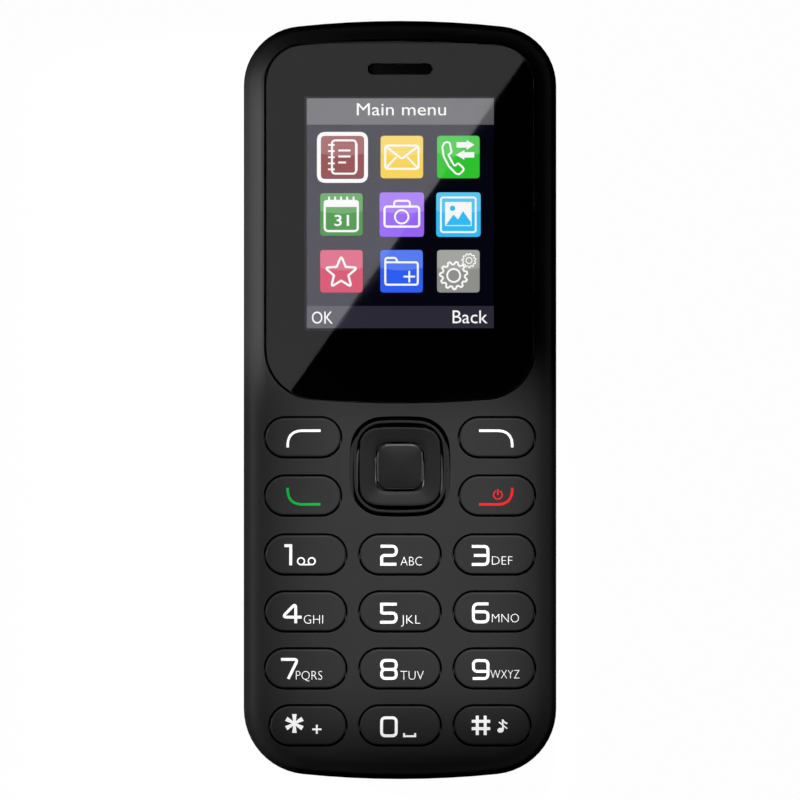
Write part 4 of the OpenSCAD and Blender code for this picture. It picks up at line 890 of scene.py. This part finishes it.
# %% [markdown]
# The four upper keys have curved lines that follow the pad: white for the screen keys, green for the call key
# and red for the end key, with the power sign beside it.

# %% Line signs of the four upper keys
POWER = [(ring_path(497.9, 494.9, 4.3, start=118, sweep=304), 1.3, OPEN),
         ([(497.9, 489.2), (497.9, 495)], 1.5, OPEN)]
# where the line stands, its foot, its level, its far end and its ink
CURVES = {"left": (287.7, 447.4, 430.7, 320.6, white_ink_painted_glow), "right": (512.2, 447.4, 430.7, 479, white_ink_painted_glow),
          "call": (287.7, 487.9, 504.4, 320.4, green_ink), "end": (512.2, 487.9, 504.4, 479, red_ink)}
CURVE_RADIUS = 15
CURVE_LINE = 2.5
for key, (x, foot_y, level_y, end_x, colour) in CURVES.items():
    sheet = Sheet(key_top)
    path = rounded_path([(x, foot_y), (x, level_y), (end_x, level_y)], CURVE_RADIUS, steps=12)
    sheet.stroke(path, CURVE_LINE)
    draw(sheet, POWER if key == "end" else [])
    sheet.place("legend_" + key, colour, "key_" + key)
print("line signs:", list(CURVES))

# %% [markdown]
# ## Screen
# The screen is a glass panel with a lit picture. What it shows here is a plain menu: a title bar, nine tiles
# with line signs, a white frame round the chosen tile, and two words over the screen keys. The picture is a
# flat drawing whose colours are kept on its faces, and one shader lights them. Real screens are made of rows
# of small cells, so a faint grid dims the light between them.

# %% Lit screen material
PALE_BLUE = (0.9, 0.89, 1, 1)
DEEP_BLUE = (0.85, 0.82, 1, 1)

def screen_finish(name, bend, mirror=PALE_BLUE):
    """A lit screen. A stronger bend mirrors more of the card, in the given tone."""
    mat = finish(name, "#050507", 0.0, 0.03, fineness=3000, depth=0.0)
    tree = mat.node_tree
    sockets = tree.nodes["Principled BSDF"].inputs
    place = add_node(tree, "TexCoord").outputs["Object"]
    cells = add_node(tree, "TexBrick", {"Vector": place, "Scale": 4500, "Brick Width": 1.0, "Row Height": 1.0,
                                        "Mortar Size": 0.08, "Color1": WHITE,
                                        "Color2": (0.98, 0.98, 0.98, 1), "Mortar": (0.82, 0.82, 0.82, 1)},
                     offset=0.0)
    tint = add_node(tree, "VertexColor", layer_name="tint").outputs["Color"]
    lit = add_node(tree, "Mix", {"Factor": 1.0, "A": tint, "B": cells.outputs["Color"]}, data_type="RGBA",
                   blend_type="MULTIPLY")
    values = {"IOR": bend, "Specular Tint": mirror, "Emission Color": lit.outputs["Result"],
              "Emission Strength": 1.1}
    for label, value in values.items():
        feed(tree, sockets[label], value)
    return mat

lit_back = screen_finish("lit_background", 2.95, DEEP_BLUE)
lit_bars = screen_finish("lit_bars", 3.8)
lit_signs = screen_finish("lit_signs", 1.35)
panel_glass = finish("panel_glass", "#08080b", 0.02, 0.05, fineness=2500, depth=0.001)
smooth_copy("panel", "lcd_glass", panel_glass, "phone_body", edge=0.15)
print("screen materials:", lit_back.name, lit_bars.name, lit_signs.name)

# %% [markdown]
# The picture lies on the panel in three layers: a dark background, the two bars, and on top the tiles with
# their signs. Each layer mirrors the card a little differently, so each is a sheet of its own.

# %% Background and bars
SCREEN_LEFT, SCREEN_TOP, SCREEN_RIGHT, SCREEN_BASE = 306.8, 98.3, 493.8, 328.2
TITLE_BASE = 124.7
WORDS_TOP = 306
LAYER = 0.04 * MM
panel_top = low_high("lcd_glass")[1].z
backdrop = Sheet(panel_top + HAIR)
backdrop.fill(box_path(SCREEN_LEFT, SCREEN_TOP, SCREEN_RIGHT, SCREEN_BASE), "#03030e")
backdrop.place("screen_background", lit_back, "phone_body")
bars = Sheet(panel_top + HAIR + LAYER)
bars.fill(box_path(SCREEN_LEFT, SCREEN_TOP, SCREEN_RIGHT, TITLE_BASE), "#575658")
bars.fill(box_path(SCREEN_LEFT, WORDS_TOP, SCREEN_RIGHT, SCREEN_BASE), "#2c2937")
bars.place("screen_bars", lit_bars, "phone_body")
print("bars placed")

# %% [markdown]
# The tiles stand in three rows of three. Each has a lighter gloss over its upper part, whose lower edge
# sags in a soft curve. A white frame stands round the chosen tile.

# %% Tiles, frame and words
SMALL, WIDE = 42.5, 44.4
CORNER = 3.6
GLOSS_SHARE = 0.42
GLOSS_SIDE = 8
PALER = 0.2
SAG = 2.6
TILES = [("#97484a", 320.9, 135.8, SMALL), ("#fdd650", 380.6, 135.8, SMALL), ("#2fc62f", 437.1, 135.8, SMALL),
         ("#4a9a48", 320.2, 193.2, SMALL), ("#9a66fb", 379.6, 192.4, WIDE), ("#33c0fa", 436.2, 192.4, WIDE),
         ("#dc5070", 320.2, 250.0, SMALL), ("#3060f8", 380.3, 250.0, SMALL), ("#93938f", 437.1, 250.0, SMALL)]
CHOSEN_FRAME = box_path(318.9, 133.9, 366, 180.9, 6.5)
FRAME_LINE = 3.9
SCREEN_WORDS = [("Main menu", 356.8, 103.2, 446, 115.3), ("OK", 311.8, 311.4, 332.8, 323.6),
                ("Back", 452.6, 310.4, 487.5, 323.2)]
UP = 0.06

def lighter(code, share):
    values = [int(code[i:i + 2], 16) for i in (1, 3, 5)]
    return "#" + "".join(f"{round(v + (255 - v) * share):02x}" for v in values)

art = Sheet(panel_top + HAIR + 2 * LAYER)
for code, x, y, size in TILES:
    art.fill(box_path(x, y, x + size, y + size, CORNER), code, lift=0.02)
    shares = [i / 10 for i in range(11)]
    level = y + size * GLOSS_SHARE
    lower = [(x + size * (1 - share), level + SAG * math.sin(math.pi * share)) for share in shares]
    upper = [(x, y + GLOSS_SIDE), (x, y), (x + size, y), (x + size, y + GLOSS_SIDE)]
    art.fill(rounded_path(upper, [0, CORNER, CORNER, 0]) + lower, lighter(code, PALER), lift=0.04)
art.stroke(CHOSEN_FRAME, FRAME_LINE, lift=0.03, closed=True)
for word in SCREEN_WORDS:
    art.letters(*word, lift=UP)
print("tiles:", len(TILES))

# %% [markdown]
# The signs of the first row are an address book with its rings, a letter with its flap and folds, and a
# handset with one arrow for calls that come and one for calls that go.

# %% Signs of the first row
ADDRESS_BOOK = [(box_path(332, 140.4, 356, 173.7, 3.5), 2, CLOSED),
                ([(356.3, 143.5), (356.3, 170.6)], 2.6, OPEN)]
ADDRESS_BOOK += [([(328.1, y), (334.7, y)], 1.8, OPEN) for y in (144.9, 151.1, 157.3, 163.4, 169.4)]
BOOK_LINES = ((150.5, 350.5), (156.5, 350.5), (162.5, 346))
ADDRESS_BOOK += [([(338.3, y), (right, y)], 1.9, OPEN) for y, right in BOOK_LINES]
LETTER = [(box_path(385.2, 145.6, 418.5, 168.8, 3), 2.1, CLOSED),
          (rounded_path([(386.4, 147), (401.8, 158.8), (417.3, 147)], 2), 2, OPEN),
          ([(386.6, 167.4), (396.4, 157)], 1.9, OPEN), ([(417.1, 167.4), (407.1, 157)], 1.9, OPEN)]
HANDSET = [(442.3, 147), (443.6, 156), (448.6, 166), (456, 173.8), (459.5, 174.3), (464.8, 169.2),
           (458.2, 163.2), (454.4, 166.2), (448.2, 154.8), (451.6, 152.6), (449.6, 142.2), (444.6, 142.4)]
HANDSET_ROUNDING = [3, 6, 6, 4, 3, 3, 1.5, 1.5, 1.5, 1.5, 2.5, 2.5]
ARROW_OUT = [(456.6, 142.2), (466.6, 142.2), (466.6, 140), (474.5, 144.9), (466.6, 149.8), (466.6, 147.6),
             (456.6, 147.6)]
ARROW_IN = [(474.2, 152.2), (464.4, 152.2), (464.4, 150), (456, 154.9), (464.4, 159.8), (464.4, 157.6),
            (474.2, 157.6)]
CALLS = [(rounded_path(HANDSET, HANDSET_ROUNDING, closed=True), 1.9, CLOSED), (ARROW_OUT, None, CLOSED),
         (ARROW_IN, None, CLOSED)]
draw(art, ADDRESS_BOOK + LETTER + CALLS, lift=UP)
print("first row drawn")

# %% [markdown]
# The second row has a calendar sheet on its hooks, a camera, and a landscape of hills and a sun in a frame.

# %% Signs of the second row
CALENDAR = [(box_path(324.7, 200.9, 357.8, 231.1, 4), 2.2, CLOSED),
            (box_path(323.8, 200, 358.7, 207, 3), None, CLOSED)]
CALENDAR += [([(x, 196.6), (x, 201.5)], 1.9, OPEN) for x in (329.1, 335.1, 341.1, 347.2, 353.6)]
CAMERA = [(box_path(384.5, 206.6, 419.2, 226.6, 3), 2.2, CLOSED),
          (rounded_path([(394.2, 206), (394.2, 200.8), (409.9, 200.8), (409.9, 206)], 3), 2, OPEN),
          (ring_path(401.7, 216.8, 6.7), 1.8, CLOSED)]
LANDSCAPE = [(box_path(440.9, 197.5, 475.7, 232.1, 2.5), 1.8, CLOSED),
             (box_path(445.1, 202, 471.6, 226), None, CLOSED)]
HILLS = [(445.9, 225.2), (453.5, 214.5), (458, 219.5), (463, 211), (470.8, 222), (470.8, 225.2)]
SUN = ring_path(452.6, 208.3, 2.7)
DAY = ("31", 334.4, 214.8, 349.1, 225.8)
draw(art, CALENDAR, lift=UP)
art.letters(*DAY, lift=UP, weight=0.012)
draw(art, CAMERA + LANDSCAPE, lift=UP)
for shape in (HILLS, SUN):
    art.fill(shape, "#33c0fa", lift=UP + 0.02)
print("second row drawn")

# %% [markdown]
# The third row has a star, a folder with a plus sign, and two cogwheels. Star and cogwheels are outlines that
# go round a centre at changing distances, so each is worked out by a loop.

# %% Signs of the third row
def star_path(x, y, outer, inner, points):
    path = []
    for i in range(points * 2):
        turn = math.radians(90 + 180 * i / points)
        reach = inner if i % 2 else outer
        path.append((x + reach * math.cos(turn), y - reach * math.sin(turn)))
    return path

def cog_path(x, y, outer, root, teeth):
    """A cogwheel's outline: out, along the tooth, in and along the gap, once for every tooth."""
    path = []
    for tooth in range(teeth):
        for share, reach in ((0.0, root), (0.22, outer), (0.5, outer), (0.72, root)):
            turn = 2 * math.pi * (tooth + share) / teeth
            path.append((x + reach * math.cos(turn), y - reach * math.sin(turn)))
    return path

STAR = [(rounded_path(star_path(341.2, 273, 17.2, 7.6, 5), [1.6, 0.6] * 5, closed=True), 2.2, CLOSED)]
FOLDER_EDGE = [(385.3, 284.7), (385.3, 257.9), (395.6, 257.9), (397.8, 262.3), (417.8, 262.3), (417.8, 284.7)]
FOLDER = [(rounded_path(FOLDER_EDGE, [2.5, 2.5, 2, 1, 2.5, 2.5], closed=True), 2, CLOSED),
          ([(386, 262.3), (397.8, 262.3)], 1.9, OPEN), ([(403.6, 276.6), (415.1, 276.6)], 1.8, OPEN),
          ([(409.3, 270.8), (409.3, 282.3)], 1.8, OPEN)]
COGWHEELS = [(rounded_path(cog_path(453.7, 275.5, 13.8, 11.2, 11), 0.8, closed=True, steps=3), 1.9, CLOSED),
             (ring_path(453.7, 275.5, 6.5), 1.9, CLOSED),
             (rounded_path(cog_path(469, 260.5, 7.1, 5.6, 11), 0.4, closed=True, steps=3), 1.1, CLOSED),
             (ring_path(469, 260.5, 3), 1.1, CLOSED)]
draw(art, STAR + FOLDER + COGWHEELS, lift=UP)
screen_signs = art.place("screen_signs", lit_signs, "phone_body")
print("screen faces:", len(screen_signs.data.polygons))

# %% [markdown]
# ## Earpiece and loudspeaker cloth
# Behind the earpiece slot and behind the loudspeaker's slots lies a fine black cloth that keeps dust out. Its
# weave is too fine to model, so it is two crossed waves of bump on a dull black sheet.

# %% Woven cloth over the speakers
def cloth_finish():
    mat = finish("speaker_cloth", "#0b0b0c", 0.7, 0.9, fineness=3000, depth=0.0, specular=0.1)
    tree = mat.node_tree
    place = add_node(tree, "TexCoord").outputs["Object"]
    threads = [add_node(tree, "TexWave", {"Vector": place, "Scale": 900}, bands_direction=way).outputs["Fac"]
               for way in ("X", "Y")]
    bump = add_node(tree, "Bump", {"Distance": 0.05 * MM, "Height": maths(tree, "MULTIPLY", *threads)})
    feed(tree, tree.nodes["Principled BSDF"].inputs["Normal"], bump.outputs["Normal"])
    return mat

cloth = cloth_finish()
smooth_copy("earpiece_cloth", "earpiece_mesh", cloth, "phone_body", edge=0)
smooth_copy("loudspeaker_cloth", "loudspeaker_mesh", cloth, "phone_body", edge=0)
print("cloths placed")

# %% [markdown]
# ## Parts of the back and the ends
# The back has the camera's window with its lens, the screws under the cover and the sockets. Their CAD meshes
# have the right form, so they only need merged, smoothly shaded copies and their own finishes.

# %% Camera window, lens, sockets and screws
smooth_copy("camera_glass", "camera_window", lens_glass, "phone_body", edge=0.1)
smooth_copy("camera_block", "camera_module", inner_black, "phone_body", edge=0.08)
smooth_copy("headset_socket", "audio_socket", inner_black, "phone_body", edge=0)
smooth_copy("charging_socket", "data_port", steel, "phone_body", edge=0)
smooth_copy("screws", "case_screws", steel, "phone_body", edge=0)
smooth_copy("battery_pack", "battery", wrap, "battery", edge=0.25, segments=3)
smooth_copy("sim", "sim_card", card_white, "sim_card", edge=0.05)
smooth_copy("storage_card", "memory_card", card_black, "memory_card", edge=0.08)
smooth_copy("weight", "motor_weight", steel, "motor_weight", edge=0.08)
smooth_copy("motor_can", "motor_case", steel, "phone_body", edge=0.08)
print("back parts placed")

# %% [markdown]
# ## Finishes of the remaining parts
# What lies inside keeps its CAD mesh and gets its own finish by name.

# %% Finish by node
INSIDE = {"antenna_carrier": inner_black, "antenna_pattern": copper, "battery_contacts": gold,
          "board_chips": resin, "card_slot": steel, "display_flex": film, "display_gasket": foam,
          "dome_sheet": steel, "earpiece": inner_black, "keypad_mat": silicone, "lcd_frame": steel,
          "loudspeaker": inner_black, "main_board": board_green, "mic_boot": rubber,
          "microphone": inner_black, "motor_holder": rubber, "nav_pivot": steel, "shield_processor": steel,
          "shield_radio": steel, "sim_holder": steel}
for name, material in INSIDE.items():
    slots = nodes[name].data.materials
    for number in range(len(slots)):
        slots[number] = material
print("inside parts:", len(INSIDE))
